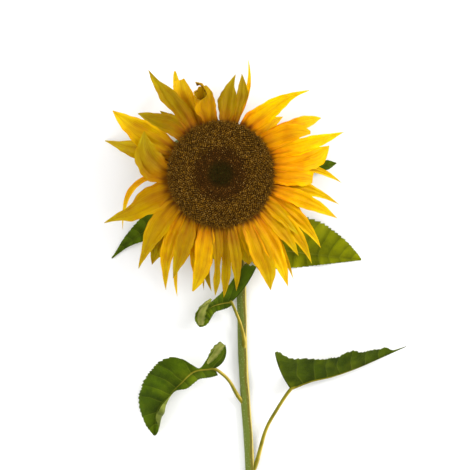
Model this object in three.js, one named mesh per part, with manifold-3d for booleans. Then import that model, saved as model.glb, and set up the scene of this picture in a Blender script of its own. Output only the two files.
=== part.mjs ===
// A cut sunflower lying face up on a flat surface: a stem with its bent neck, six leaves,
// the green base of the head with its bracts, a ring of ray petals and the disc of florets.
// Millimetres, +Z up, +Y from the cut end of the stem to the head.
// Everything is placed round the head's axis, x = y = 0, with the surface at z = 0. The group at
// the end moves the origin to the middle of the flower's footprint.
import * as THREE from "three";
import { mergeVertices } from "three/addons/utils/BufferGeometryUtils.js";
import Module from "manifold-3d";

const wasm = await Module();
wasm.setup();

const { cos, sin, PI, hypot, max, min, sign, exp } = Math;
const rad = THREE.MathUtils.degToRad;
const TURN = 2 * PI;
const Z = new THREE.Vector3(0, 0, 1);

// ---- Driving dimensions -------------------------------------------------------------------

const gap = 0.3; // between pieces that touch
const thick = 0.8; // petals, bracts and leaf blades
const sliver = 0.02; // finest feature kept where solids are joined

const stem = {
  radius: 4.9,
  sides: 12,
  neckBend: 24, // radius of the quarter bend that lifts the head
  jointRadius: 8.6, // where the neck flares into the head
};
stem.rest = 4.5; // height of its line over the surface, a little under its half depth
stem.top = stem.rest + stem.neckBend; // height of the joint with the head

const base = {
  floor: stem.top + gap,
  shoulder: stem.top + 20.2, // the step that carries the petal ring
  shoulderRadius: 51,
  coreRadius: 45.7,
  top: stem.top + 24.2,
};

const ring = { inner: base.coreRadius + gap, outer: 52.5, floor: base.shoulder + gap, top: base.top };

const disc = {
  radius: 53.5,
  floor: base.top + gap,
  rimFloor: base.top + 3.1, // the outer florets lean out over the petals
  rimTop: base.top + 4.8,
  dome: 5.6, // rise of the face from its rim
  dimple: 2.6, // dip over the unopened florets
  dimpleRadius: 12,
  sectors: 56,
  innerRadius: 7,
  relief: 1.5, // height of a floret over its neighbours
};

const petalRoot = { radius: 48.5, layerHeight: [0, 0.75, 1.5], floor: base.shoulder + 1.5 };

// ---- Making closed solids -----------------------------------------------------------------

// The manifold solid of a closed three.js geometry, faces turned outwards.
function solidOf(geometry) {
  const bare = geometry.clone();
  bare.deleteAttribute("normal");
  bare.deleteAttribute("uv");
  const merged = mergeVertices(bare, 1e-4);
  const build = (triVerts) =>
    new wasm.Manifold(new wasm.Mesh({ numProp: 3, vertProperties: merged.attributes.position.array, triVerts }));
  const made = build(new Uint32Array(merged.index.array));
  return made.volume() > 0 ? made : build(new Uint32Array(merged.index.array).reverse());
}

function geometryOf(solid) {
  const mesh = solid.getMesh();
  const stride = mesh.numProp;
  const positions = new Float32Array(mesh.numVert * 3);
  for (let i = 0; i < mesh.numVert; i++)
    positions.set(mesh.vertProperties.subarray(i * stride, i * stride + 3), i * 3);
  const geometry = new THREE.BufferGeometry();
  geometry.setAttribute("position", new THREE.BufferAttribute(positions, 3));
  geometry.setIndex(new THREE.BufferAttribute(mesh.triVerts, 1));
  geometry.computeVertexNormals();
  return geometry;
}

// Joins many solids, and keeps the largest body that comes out, without its slivers.
function join(solids) {
  const bodies = wasm.Manifold.union(solids).decompose();
  return bodies.reduce((big, body) => (body.volume() > big.volume() ? body : big)).simplify(sliver);
}

function closedGeometry(points, triangles) {
  const geometry = new THREE.BufferGeometry();
  geometry.setAttribute("position", new THREE.Float32BufferAttribute(points.flatMap((p) => p.toArray()), 3));
  geometry.setIndex(triangles);
  return geometry;
}

// Unit normal of the surface point(u, v), by small differences kept inside 0..1 and -1..1.
function normalAt(point, u, v) {
  const step = 0.01;
  const along = point(min(1, u + step), v).sub(point(max(0, u - step), v));
  const across = point(u, v + step).sub(point(u, v - step));
  return along.cross(across).normalize();
}

// A thin blade over the surface point(u, v), u from root to tip and v from -1 to 1 across.
// Both faces are split into triangles alike, and no point lies under the surface z = 0.
function blade(point, rows, columns) {
  const width = columns + 1;
  const face = (rows + 1) * width;
  const points = [];
  for (const side of [0.5, -0.5])
    for (let i = 0; i <= rows; i++)
      for (let j = 0; j <= columns; j++) {
        const u = i / rows;
        const v = (2 * j) / columns - 1;
        const p = point(u, v);
        p.z = max(p.z, thick / 2);
        p.addScaledVector(normalAt(point, u, v), side * thick);
        p.z = max(p.z, side > 0 === normalAt(point, u, v).z > 0 ? thick : 0);
        points.push(p);
      }
  const triangles = [];
  for (let i = 0; i < rows; i++)
    for (let j = 0; j < columns; j++) {
      const a = i * width + j;
      const [b, c, d] = [a + 1, a + width, a + width + 1];
      triangles.push(a, c, b, b, c, d);
      triangles.push(face + a, face + b, face + c, face + b, face + d, face + c);
    }
  const edge = [];
  for (let j = 0; j < columns; j++) edge.push(j);
  for (let i = 0; i < rows; i++) edge.push(i * width + columns);
  for (let j = columns; j > 0; j--) edge.push(rows * width + j);
  for (let i = rows; i > 0; i--) edge.push(i * width);
  edge.forEach((a, k) => {
    const b = edge[(k + 1) % edge.length];
    triangles.push(a, b, face + a, b, face + b, face + a);
  });
  return solidOf(closedGeometry(points, triangles));
}

// A tapered tube with flat ends. Its section is a polygon that starts with a flat side down.
function tube(path, radiusAt, steps, sides) {
  const points = [];
  let side = null;
  for (let i = 0; i <= steps; i++) {
    const tangent = path.getTangent(i / steps);
    side = side ? side.clone() : Z.clone().cross(tangent);
    side.addScaledVector(tangent, -side.dot(tangent)).normalize();
    const up = tangent.clone().cross(side);
    const centre = path.getPoint(i / steps);
    const radius = radiusAt(i / steps);
    centre.z = max(centre.z, radius * cos(PI / sides));
    for (let k = 0; k < sides; k++) {
      const a = ((k + 0.5) * TURN) / sides - PI / 2;
      points.push(centre.clone().addScaledVector(side, radius * cos(a)).addScaledVector(up, radius * sin(a)));
    }
  }
  const triangles = [];
  for (let i = 0; i < steps; i++)
    for (let k = 0; k < sides; k++) {
      const next = (k + 1) % sides;
      const [a, b] = [i * sides + k, i * sides + next];
      triangles.push(a, b, a + sides, b, b + sides, a + sides);
    }
  const last = steps * sides;
  for (let k = 1; k < sides - 1; k++) {
    triangles.push(0, k + 1, k);
    triangles.push(last, last + k, last + k + 1);
  }
  return solidOf(closedGeometry(points, triangles));
}

// Revolves a closed outline of [radius, height] round the Z axis.
function turned(outline, segments) {
  const profile = outline.map(([r, z]) => new THREE.Vector2(r, z));
  return solidOf(new THREE.LatheGeometry(profile, segments).rotateX(PI / 2));
}

// Smooth value at u, 0 to 1, through evenly spaced values: a uniform Catmull-Rom curve.
function smooth(values, u) {
  const last = values.length - 1;
  const place = min(max(u, 0), 1) * last;
  const i = min(Math.floor(place), last - 1);
  const t = place - i;
  const at = (k) => {
    if (k < 0) return 2 * values[0] - values[1];
    return k > last ? 2 * values[last] - values[last - 1] : values[k];
  };
  const [a, b, c, d] = [at(i - 1), at(i), at(i + 1), at(i + 2)];
  return b + 0.5 * t * (c - a + t * (2 * a - 5 * b + 4 * c - d + t * (3 * (b - c) + d - a)));
}

const curveThrough = (points) =>
  new THREE.CatmullRomCurve3(points.map((p) => new THREE.Vector3(...p)), false, "catmullrom", 0.5);

// ---- The stem -----------------------------------------------------------------------------

// Lies along the surface, drifts sideways as it grew, and turns up into the head.
const stemRun = [
  [31.5, -330],
  [29, -279],
  [25.6, -231],
  [22.7, -180],
  [21.6, -127],
  [20, -84],
  [15, -50],
];
const neckHeading = Math.atan2(22.9, -7.2); // the way the stem runs as it reaches the head

function stemPath() {
  const ahead = new THREE.Vector3(cos(neckHeading), sin(neckHeading), 0);
  const bendStart = ahead.clone().multiplyScalar(-stem.neckBend).setZ(stem.rest);
  const bendEnd = new THREE.Vector3(0, 0, stem.top);
  const handle = 0.5523 * stem.neckBend;
  const path = new THREE.CurvePath();
  path.add(curveThrough([...stemRun.map(([x, y]) => [x, y, stem.rest]), bendStart.toArray()]));
  path.add(
    new THREE.CubicBezierCurve3(
      bendStart,
      bendStart.clone().addScaledVector(ahead, handle),
      bendEnd.clone().addScaledVector(Z, -handle),
      bendEnd,
    ),
  );
  return path;
}

// Radius from the cut end, 0, to the head, 1, with `spare` added all round.
const stemRadius = (spare) => (t) =>
  spare + smooth([1.06, 1.0, 0.99, 1.0, 1.0, 1.0, 1.02, 1.06, 1.1, 1.18, 1.32, stem.jointRadius / stem.radius], t) *
    stem.radius;

const makeStem = (spare = 0) => tube(stemPath(), stemRadius(spare), 28, stem.sides);

// ---- The leaves ---------------------------------------------------------------------------

// A leaf is a stalk, the line of its midrib, and a half blade on each side of it. For each half,
// from the blade's base to its tip: `reach` is the half width, `slant` the angle of the side veins
// from the midrib, so that over 90 degrees makes a lobe, `tilt` how steeply the half leaves the
// midrib, `curl` how much steeper it is at the edge, and `sweep` how much further back the side
// veins start than they end, in degrees.
// The left half lies to the left of someone who walks from the stalk to the tip.
const leaves = {
  leaf_lower_left: {
    stalk: [[27, -232, 5], [17.5, -220, 8], [9.6, -206, 15], [2, -200, 20], [-7, -196, 24.5]],
    stalkRadius: [2.9, 1.9],
    midrib: [[-7, -196, 24.5], [-27, -199, 27], [-41, -212, 25], [-52, -224, 20], [-62, -240, 13], [-68, -266, 3]],
    right: {
      reach: [36, 37, 16, 5, 20, 32, 35, 36, 36, 34, 32, 29, 25, 20, 14, 8, 1],
      slant: [123, 112, 108, 96, 88, 84, 80, 77, 74, 70, 66, 62, 58, 52, 46, 38, 30],
      tilt: [28, 24, 10, 0, -10, -14, -16, -14, 0],
      curl: [20, 20, 10, 0, -14, -20, -20, -10, 0],
      sweep: [46, 12, 0, 0, 0, 0, 0, 0, 0],
    },
    left: {
      reach: [11, 15, 12, 7, 12, 16, 15, 10, 1],
      slant: [112, 116, 96, 84, 74, 64, 56, 46, 30],
      tilt: [-30, -34, -30, 0, 20, 22, 22, 20, 0],
      curl: [-20, -16, -14, 60, 110, 130, 120, 60, 0],
    },
  },
  leaf_lower_right: {
    stalk: [[28, -309, 5], [36, -296, 6], [46, -261, 8], [57.5, -239, 11], [71.5, -218, 14]],
    stalkRadius: [2.9, 1.9],
    midrib: [[71.5, -218, 14], [92, -210, 14], [114, -205, 13], [138, -197, 12], [162, -187, 10], [190, -175, 6]],
    left: {
      reach: [59, 36, 29, 25, 22, 21, 15, 7, 1],
      slant: [92, 89, 81, 76, 74, 67, 62, 50, 24],
      tilt: [34, 35, 36, 36, 36, 34, 30, 20, 6],
      curl: [16, 14, 10, 6, 4, 6, 10, 10, 0],
    },
    right: {
      reach: [24, 27, 25, 22, 20, 18, 13, 8, 1],
      slant: [100, 94, 84, 78, 74, 68, 60, 46, 24],
      tilt: [-150, -152, -154, -155, -156, -156, -156, -158, -164],
      curl: [-12, -12, -10, -8, -8, -8, -6, 0, 0],
    },
  },
  leaf_middle: {
    stalk: [[26, -175, 6.5], [24.5, -165, 10.5], [20.8, -153, 13.5], [16.7, -142, 16], [11, -129, 18.5]],
    stalkRadius: [2.5, 1.5],
    midrib: [[11, -129, 18.5], [1.5, -130, 21], [-8.5, -133, 24], [-17, -140, 20], [-21, -154, 8]],
    right: {
      reach: [45, 43, 20, 14, 13, 13, 14, 15, 14, 12, 9, 5, 1],
      slant: [131, 118, 108, 100, 94, 88, 82, 76, 68, 60, 50, 40, 30],
      tilt: [4, 16, 34, 40, 30, 10, 0],
      curl: [0, 0, 30, 60, 60, 30, 0],
    },
    left: {
      reach: [3, 8, 10, 10, 12, 10, 1],
      slant: [110, 100, 92, 90, 80, 60, 30],
      tilt: [-24, -30, -36, -40, -36, -26, 0],
      curl: [-10, -20, -20, -10, 0, 0, 0],
    },
  },
  leaf_upper_right: {
    stalk: [[20, -99, 5], [27, -91, 8], [34, -84, 9], [42.5, -79, 8]],
    stalkRadius: [2.4, 1.5],
    midrib: [[42.5, -79, 8], [66, -77, 7], [92, -80, 5.5], [118, -83, 3.5], [144, -86, 1]],
    left: {
      reach: [26, 32, 37, 38, 35, 28, 20, 11, 1],
      slant: [136, 108, 90, 80, 74, 66, 58, 56, 30],
      tilt: [-6, -4, 0, 2, 4, 4, 4, 2, 0],
      curl: [0, 0, -6, -12, -14, -14, -10, -4, 0],
    },
    right: {
      reach: [14, 19, 20, 17, 13, 10, 7, 4, 1],
      slant: [136, 112, 96, 84, 76, 68, 58, 48, 30],
      tilt: [-16, -20, -22, -22, -20, -18, -14, -8, 0],
      curl: [0, 0, 6, 10, 12, 14, 12, 6, 0],
    },
  },
  leaf_upper_left: {
    stalk: [[14, -50, 5], [3, -50, 8], [-16, -45, 10], [-36, -44, 9]],
    stalkRadius: [2.2, 1.3],
    midrib: [[-36, -44, 9], [-56, -49, 9], [-77, -57, 7], [-96, -69, 4], [-111.5, -84, 1]],
    left: {
      reach: [12, 14, 14, 11, 8, 5, 3, 1],
      slant: [130, 104, 88, 78, 70, 60, 44, 30],
      tilt: [-10, -12, -14, -14, -12, -8, -4, 0],
      curl: [0, 0, 0, 8, 8, 4, 0, 0],
    },
    right: {
      reach: [12, 17, 20, 19, 15, 10, 5, 1],
      slant: [130, 104, 88, 78, 70, 60, 44, 30],
      tilt: [6, 8, 10, 10, 8, 4, 0, 0],
      curl: [0, -8, -14, -16, -14, -8, 0, 0],
    },
  },
  leaf_top_right: {
    stalk: [[9.5, -30, 6], [15, -23, 9], [24, -16, 11], [34, -10, 11]],
    stalkRadius: [2.0, 1.2],
    midrib: [[34, -10, 11], [52, -4, 12], [74, 2, 11], [96, 7, 9], [118, 13, 6]],
    left: {
      reach: [6, 10, 13, 14, 12, 9, 6, 1],
      slant: [110, 90, 78, 70, 62, 54, 44, 26],
      tilt: [8, 8, 8, 8, 6, 4, 0, 0],
      curl: [0, -10, -20, -20, -16, -10, 0, 0],
    },
    right: {
      reach: [6, 10, 13, 14, 12, 9, 6, 1],
      slant: [110, 90, 78, 70, 62, 54, 44, 26],
      tilt: [-14, -16, -18, -18, -14, -10, 0, 0],
      curl: [0, 0, 8, 10, 8, 4, 0, 0],
    },
  },
};
const leafRows = 14;
const tooth = 0.035; // share of the half width that each notch of the edge takes away
const ruffle = { height: 1.6, waves: 3.2 };
const veinSweep = [12, 12];

// A point of the blade: out from the midrib along a side vein that bends as an arc.
function leafPoint(leaf, midrib, u, v) {
  const half = v < 0 ? leaf.right : leaf.left;
  const out = Math.abs(v);
  const here = midrib.getPoint(u);
  const ahead = midrib.getTangent(u).setZ(0).normalize();
  const aside = Z.clone().cross(ahead).multiplyScalar(v < 0 ? -1 : 1);
  const slant = rad(smooth(half.slant, u) + (1 - out) * smooth(half.sweep ?? veinSweep, u));
  const start = rad(smooth(half.tilt, u));
  const bend = rad(smooth(half.curl, u)) || 1e-6;
  const notch = Math.round(u * leafRows) % 2 ? 0 : tooth * max(0, 2 * out - 1);
  const reach = smooth(half.reach, u) * (1 - notch);
  const level = (sin(start + bend * out) - sin(start)) / bend;
  const rise = (cos(start) - cos(start + bend * out)) / bend;
  const wave = ruffle.height * out * out * sin(u * TURN * ruffle.waves + (v < 0 ? 2 : 0)) * sin(PI * u);
  return here
    .addScaledVector(ahead, reach * level * cos(slant))
    .addScaledVector(aside, reach * level * sin(slant))
    .addScaledVector(Z, reach * rise + wave);
}

function makeLeaf(leaf, stemSpace) {
  const midrib = curveThrough(leaf.midrib);
  const [thickEnd, thinEnd] = leaf.stalkRadius;
  const sheet = blade((u, v) => leafPoint(leaf, midrib, u, v), leafRows, 4);
  const line = curveThrough([...leaf.stalk, midrib.getPoint(0.07).toArray()]);
  const stalk = tube(line, (t) => thickEnd + (thinEnd - thickEnd) * min(1, 2.5 * t), 9, 6);
  return join([join([sheet, stalk]).subtract(stemSpace)]);
}

// ---- The base of the head, with its bracts ---------------------------------------------------

const bracts = {
  rows: [
    { count: 13, turn: 20, root: [42, 14], knee: [60, 21], tip: [67, -2], width: 17 },
    { count: 11, turn: 11, root: [35, 10], knee: [54, 15], tip: [60, -9], width: 16 },
  ],
  rise: base.floor,
};

// Half width of a petal or bract at u, as a share of its widest: `claw` at its root, full at
// `belly`, and drawn out to a tip, more bluntly for a larger `point`.
function bladeShare(u, { claw, belly, point }) {
  if (u < belly) return claw + (1 - claw) * sin((PI / 2) * (u / belly));
  return max(0.02, 1 - ((u - belly) / (1 - belly)) ** point);
}
const bractOutline = { claw: 0.8, belly: 0.35, point: 1.3 };

function makeBase() {
  const { floor, shoulder, shoulderRadius, coreRadius, top } = base;
  const body = turned(
    [[0, floor], [8.8, floor], [19, floor + 4.2], [32, floor + 8.2], [44, floor + 13.2],
      [shoulderRadius, shoulder - 1.5], [shoulderRadius, shoulder], [coreRadius, shoulder],
      [coreRadius, top], [0, top]],
    36,
  );
  const all = [body];
  for (const row of bracts.rows)
    for (let k = 0; k < row.count; k++) {
      const angle = (TURN * k) / row.count + rad(row.turn + 4 * sin(7 * k));
      const stretch = 1 + 0.08 * sin(5 * k + row.turn);
      const [root, knee, tip] = [row.root, row.knee, row.tip].map(
        ([r, z], i) => new THREE.Vector3(i === 2 ? r * stretch : r, 0, bracts.rise + z),
      );
      const spine = new THREE.QuadraticBezierCurve3(root, knee, tip);
      const point = (u, v) => {
        const p = spine.getPoint(u);
        const half = (row.width / 2) * bladeShare(u, bractOutline);
        p.y = half * v;
        p.z -= 0.16 * half * v * v;
        return p.applyAxisAngle(Z, angle);
      };
      all.push(blade(point, 4, 2));
    }
  return join(all);
}

// ---- The ray petals -------------------------------------------------------------------------

const petalOutline = {
  lance: { claw: 0.42, belly: 0.45, point: 1.55 },
  spear: { claw: 0.5, belly: 0.32, point: 1.05 },
  broad: { claw: 0.5, belly: 0.6, point: 2.6 },
  paddle: { claw: 0.4, belly: 0.66, point: 1.7 },
  strap: { claw: 0.7, belly: 0.5, point: 2 },
};
const { lance, spear, broad, paddle, strap } = petalOutline;

// Each petal runs from the rim of the head to its tip: bearings of its root and tip round the
// head, in degrees, distance of the tip from the head's axis, height of the tip over the surface,
// width, layer (0 lowest, 2 on top), lift of its arc, twist in degrees, and bow, how far its
// middle swings to the left of someone who walks out along it. `knee` moves the arc's bend.
const petals = [
  { root: 122, tip: 124.5, reach: 128, height: 44, width: 25, layer: 2, lift: 5, twist: 8, bow: -1, outline: lance },
  { root: 114, tip: 113.5, reach: 113, height: 0, width: 22, layer: 0, lift: 4, twist: 8, bow: 0, outline: broad },
  { root: 104, tip: 103, reach: 90, height: 72, width: 22, layer: 2, lift: 24, twist: 12, bow: -1, outline: broad,
    knee: 1.1 },
  { root: 82, tip: 81.3, reach: 101, height: 46, width: 20, layer: 1, lift: 4, twist: -10, bow: 2, outline: lance },
  { root: 76, tip: 77.4, reach: 102, height: 44, width: 12, layer: 2, lift: 3, twist: 14, bow: -2, outline: paddle },
  { root: 70, tip: 76.8, reach: 123.8, height: 0, width: 7, layer: 0, lift: 2, twist: 20, bow: -4.5, outline: strap,
    knee: 0.66 },
  { root: 57, tip: 43.2, reach: 122, height: 48, width: 25, layer: 2, lift: 7, twist: -10, bow: 7, outline: spear },
  { root: 49, tip: 43.5, reach: 85, height: 30, width: 16, layer: 0, lift: -1, twist: 8, bow: 1, outline: lance },
  { root: 41, tip: 29.9, reach: 120, height: 0, width: 17, layer: 0, lift: 3, twist: 10, bow: 3.5, outline: broad },
  { root: 35, tip: 24.6, reach: 99.5, height: 50, width: 18, layer: 2, lift: 7, twist: -14, bow: 4, outline: lance },
  { root: 23, tip: 19, reach: 131, height: 36, width: 16, layer: 1, lift: 4, twist: 8, bow: 1, outline: lance },
  { root: 14, tip: 14.4, reach: 113, height: 38, width: 18, layer: 2, lift: 5, twist: 10, bow: -3, outline: paddle },
  { root: 9, tip: 9, reach: 95, height: 42, width: 16, layer: 1, lift: 3, twist: -8, bow: 1, outline: lance },
  { root: 4, tip: -3.4, reach: 123, height: 24, width: 7.5, layer: 0, lift: 3, twist: 20, bow: 5, outline: strap },
  { root: -1, tip: -3, reach: 96, height: 50, width: 19, layer: 2, lift: 6, twist: -10, bow: 1, outline: broad },
  { root: -8, tip: -13.8, reach: 122, height: 34, width: 17, layer: 1, lift: 4, twist: 8, bow: 4, outline: spear },
  { root: -16, tip: -20.6, reach: 125, height: 40, width: 16, layer: 2, lift: 6, twist: 12, bow: 3, outline: lance },
  { root: -21, tip: -27, reach: 96, height: 36, width: 15, layer: 1, lift: 3, twist: -16, bow: 2, outline: lance },
  { root: -26, tip: -35.5, reach: 124, height: 28, width: 15, layer: 0, lift: 3, twist: 14, bow: 5, outline: lance },
  { root: -31, tip: -38, reach: 97, height: 46, width: 14, layer: 2, lift: 6, twist: -18, bow: 2, outline: lance },
  { root: -36, tip: -44.3, reach: 129, height: 32, width: 14, layer: 1, lift: 4, twist: 16, bow: 5, outline: lance },
  { root: -41, tip: -46, reach: 115, height: 40, width: 16, layer: 2, lift: 6, twist: -14, bow: 3, outline: lance },
  { root: -44, tip: -55, reach: 128, height: 28, width: 9, layer: 0, lift: 3, twist: 20, bow: 6, outline: lance },
  { root: -50, tip: -58.2, reach: 132, height: 38, width: 19, layer: 1, lift: 5, twist: -8, bow: 5, outline: lance },
  { root: -59, tip: -66, reach: 126, height: 40, width: 21, layer: 2, lift: 6, twist: 8, bow: 3.5, outline: lance },
  { root: -66, tip: -68, reach: 104, height: 30, width: 14, layer: 0, lift: 3, twist: -14, bow: 0, outline: lance },
  { root: -72, tip: -72, reach: 94, height: 38, width: 17, layer: 1, lift: 4, twist: 8, bow: 1, outline: broad },
  { root: -80, tip: -82.2, reach: 118, height: 40, width: 14, layer: 2, lift: 6, twist: -10, bow: 1.5, outline: lance },
  { root: -88, tip: -86.9, reach: 119, height: 36, width: 15, layer: 1, lift: 4, twist: 12, bow: -1, outline: lance },
  { root: -97, tip: -92.6, reach: 120, height: 42, width: 13, layer: 2, lift: 6, twist: -8, bow: -2, outline: lance },
  { root: -103, tip: -98.2, reach: 117, height: 29, width: 7, layer: 0, lift: 2, twist: 24, bow: -3, outline: lance },
  { root: -109, tip: -103.4, reach: 120, height: 40, width: 18, layer: 1, lift: 5, twist: 6, bow: -3, outline: lance },
  { root: -114, tip: -105.5, reach: 104, height: 32, width: 13, layer: 0, lift: 3, twist: -8, bow: -2, outline: lance },
  { root: -120, tip: -109.5, reach: 129, height: 26, width: 7, layer: 0, lift: 2, twist: 30, bow: -6, outline: strap },
  { root: -126, tip: -114.4, reach: 114, height: 44, width: 18, layer: 2, lift: 6, twist: -10, bow: -5.5, outline: lance },
  { root: -136, tip: -115.8, reach: 125, height: 36, width: 15, layer: 1, lift: 4, twist: 14, bow: -10, outline: lance },
  { root: -142, tip: -128, reach: 112, height: 30, width: 13, layer: 0, lift: 2, twist: -12, bow: -7, outline: lance },
  { root: -149, tip: -131, reach: 123, height: 40, width: 23, layer: 2, lift: 6, twist: 8, bow: -9.5, outline: lance },
  { root: -162, tip: -157.4, reach: 127, height: 42, width: 29, layer: 2, lift: 6, twist: -8, bow: 0, outline: spear },
  { root: 180, tip: -151, reach: 113, height: 24, width: 6.5, layer: 0, lift: 2, twist: 26, bow: -16.5, outline: strap,
    knee: 0.72 },
  { root: 178, tip: 151, reach: 90, height: 58, width: 27, layer: 2, lift: 8, twist: 12, bow: 11.3, outline: lance,
    knee: 0.62 },
  { root: 167, tip: 162.9, reach: 126.5, height: 0, width: 21, layer: 0, lift: 5, twist: -8, bow: -2, outline: lance },
  { root: 159, tip: 156, reach: 92, height: 40, width: 15, layer: 1, lift: 3, twist: 10, bow: 1, outline: lance },
  { root: 152, tip: 149.2, reach: 125, height: 48, width: 23, layer: 1, lift: 6, twist: -22, bow: 1.5, outline: lance },
  { root: 138, tip: 142.2, reach: 102, height: 46, width: 20, layer: 2, lift: 4, twist: 14, bow: -3, outline: broad },
  { root: 131, tip: 133, reach: 88, height: 30, width: 14, layer: 0, lift: 0, twist: -10, bow: -1, outline: lance },
];

// A point of a petal: across its arc, channelled like a shallow gutter and turned by its twist.
function petalPoint({ root, tip, reach, height, width, layer, lift, twist, bow, outline, knee = 0.5 }, u, v) {
  const from = new THREE.Vector3(petalRoot.radius, 0, petalRoot.floor + petalRoot.layerHeight[layer]);
  from.applyAxisAngle(Z, rad(root));
  const to = new THREE.Vector3(reach, 0, height).applyAxisAngle(Z, rad(tip));
  const run = to.clone().sub(from).setZ(0);
  const left = Z.clone().cross(run).normalize();
  const bend = from.clone().addScaledVector(run, knee).addScaledVector(left, 2 * bow).addScaledVector(Z, lift);
  const spine = new THREE.QuadraticBezierCurve3(from, bend, to);
  const ahead = spine.getTangent(u);
  const flat = Z.clone().cross(ahead).normalize();
  const up = ahead.clone().cross(flat);
  const turn = rad(twist) * u * u * (3 - 2 * u);
  const aside = flat.clone().multiplyScalar(cos(turn)).addScaledVector(up, sin(turn));
  const normal = up.multiplyScalar(cos(turn)).addScaledVector(flat, -sin(turn));
  const half = (width / 2) * bladeShare(u, outline);
  return spine
    .getPoint(u)
    .addScaledVector(aside, half * v)
    .addScaledVector(normal, 0.2 * half * (v * v - 0.4));
}

function makePetals() {
  const { inner, outer, floor, top } = ring;
  const hoop = turned([[inner, floor], [outer, floor], [outer, top], [inner, top], [inner, floor]], 36);
  return join([hoop, ...petals.map((petal) => blade((u, v) => petalPoint(petal, u, v), 6, 2))]);
}

// ---- The disc of florets -------------------------------------------------------------------

// Height of the face at radius r: a low dome with a dimple over the unopened florets.
const faceHeight = (r) =>
  disc.rimTop + disc.dome * (1 - (r / disc.radius) ** 2) ** 0.7 - disc.dimple * exp(-((r / disc.dimpleRadius) ** 2));

// Rings widen by the same share each, so that raised points, every second one in a chequer, run
// in the crossing spirals of a real disc.
function makeDisc() {
  const { sectors, radius, innerRadius, relief } = disc;
  const ringCount = Math.round(Math.log(radius / innerRadius) / Math.log(1 + TURN / sectors));
  const points = [new THREE.Vector3(0, 0, faceHeight(0))];
  const ringOf = (r, heightAt) => {
    const first = points.length;
    for (let k = 0; k < sectors; k++) {
      const a = (TURN * k) / sectors;
      points.push(new THREE.Vector3(r * cos(a), r * sin(a), heightAt(k)));
    }
    return first;
  };
  const rings = [];
  for (let i = 0; i <= ringCount; i++) {
    const r = innerRadius * (radius / innerRadius) ** (i / ringCount);
    const edge = i === ringCount ? 0 : min(1, (r / 20) ** 0.8);
    rings.push(ringOf(min(r, radius - 0.4 * (i === ringCount)), (k) => faceHeight(min(r, radius * 0.995)) +
      edge * relief * ((i + k) % 2 ? 0.35 : -0.65)));
  }
  rings.push(ringOf(radius, () => (disc.rimFloor + disc.rimTop) / 2));
  rings.push(ringOf(radius - 1.2, () => disc.rimFloor));
  rings.push(ringOf(base.coreRadius, () => disc.floor));
  const under = points.push(new THREE.Vector3(0, 0, disc.floor)) - 1;
  const triangles = [];
  for (let k = 0; k < sectors; k++) {
    const next = (k + 1) % sectors;
    triangles.push(0, rings[0] + k, rings[0] + next);
    rings.slice(1).forEach((outer, i) => {
      const inner = rings[i];
      if ((i + k) % 2) triangles.push(inner + k, outer + k, outer + next, inner + k, outer + next, inner + next);
      else triangles.push(inner + k, outer + k, inner + next, inner + next, outer + k, outer + next);
    });
    triangles.push(under, rings.at(-1) + next, rings.at(-1) + k);
  }
  return solidOf(closedGeometry(points, triangles));
}

// ---- The whole flower -------------------------------------------------------------------------

const finish = (color, roughness) => new THREE.MeshStandardMaterial({ color, roughness, metalness: 0 });
const stemGreen = finish(0x8a9a4a, 0.7);
const leafGreen = finish(0x4b6f14, 0.65);
const bractGreen = finish(0x5a7a2a, 0.75);
const petalYellow = finish(0xf2ae06, 0.6);
const floretBrown = finish(0x4a2c0a, 0.9);

const flower = new THREE.Group();
const addPiece = (name, solid, material) => {
  const mesh = new THREE.Mesh(geometryOf(solid), material);
  mesh.name = name;
  flower.add(mesh);
};

const stemSpace = makeStem(gap);
addPiece("stem", makeStem(), stemGreen);
for (const [name, leaf] of Object.entries(leaves)) addPiece(name, makeLeaf(leaf, stemSpace), leafGreen);
addPiece("head_base", makeBase(), bractGreen);
addPiece("ray_petals", makePetals(), petalYellow);
addPiece("disc_florets", makeDisc(), floretBrown);

// The origin is under the middle of the whole flower, on the surface.
const extent = new THREE.Box3().setFromObject(flower);
const middle = extent.getCenter(new THREE.Vector3());
flower.position.set(-middle.x, -middle.y, -extent.min.z);

export default flower;
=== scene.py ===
"""A cut sunflower that lies face up: stem, leaves, bracts, ray petals and the disc of florets."""

import logging
import math
from dataclasses import dataclass, field
from enum import Enum
from typing import Sequence

import bpy
import numpy as np
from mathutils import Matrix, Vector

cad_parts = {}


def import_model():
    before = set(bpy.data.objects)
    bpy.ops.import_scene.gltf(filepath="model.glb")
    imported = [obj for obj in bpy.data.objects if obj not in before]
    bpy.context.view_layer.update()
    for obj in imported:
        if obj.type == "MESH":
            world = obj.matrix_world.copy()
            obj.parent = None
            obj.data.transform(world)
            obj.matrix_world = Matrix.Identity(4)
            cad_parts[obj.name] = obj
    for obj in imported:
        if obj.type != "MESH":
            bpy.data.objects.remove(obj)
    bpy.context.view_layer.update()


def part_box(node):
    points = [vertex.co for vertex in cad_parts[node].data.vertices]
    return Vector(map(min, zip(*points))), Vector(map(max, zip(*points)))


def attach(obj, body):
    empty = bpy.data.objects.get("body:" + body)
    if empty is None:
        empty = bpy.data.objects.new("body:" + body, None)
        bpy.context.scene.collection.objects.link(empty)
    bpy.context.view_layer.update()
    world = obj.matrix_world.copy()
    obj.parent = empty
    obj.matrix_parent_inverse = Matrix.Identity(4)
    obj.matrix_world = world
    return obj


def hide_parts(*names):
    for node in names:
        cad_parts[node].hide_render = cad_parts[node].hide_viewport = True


Array = np.ndarray
Colour = tuple[float, float, float]
Place = tuple[float, float, float]
Node = bpy.types.Node
NodeTree = bpy.types.NodeTree
Socket = bpy.types.NodeSocket
Material = bpy.types.Material

log = logging.getLogger("sunflower")

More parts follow.
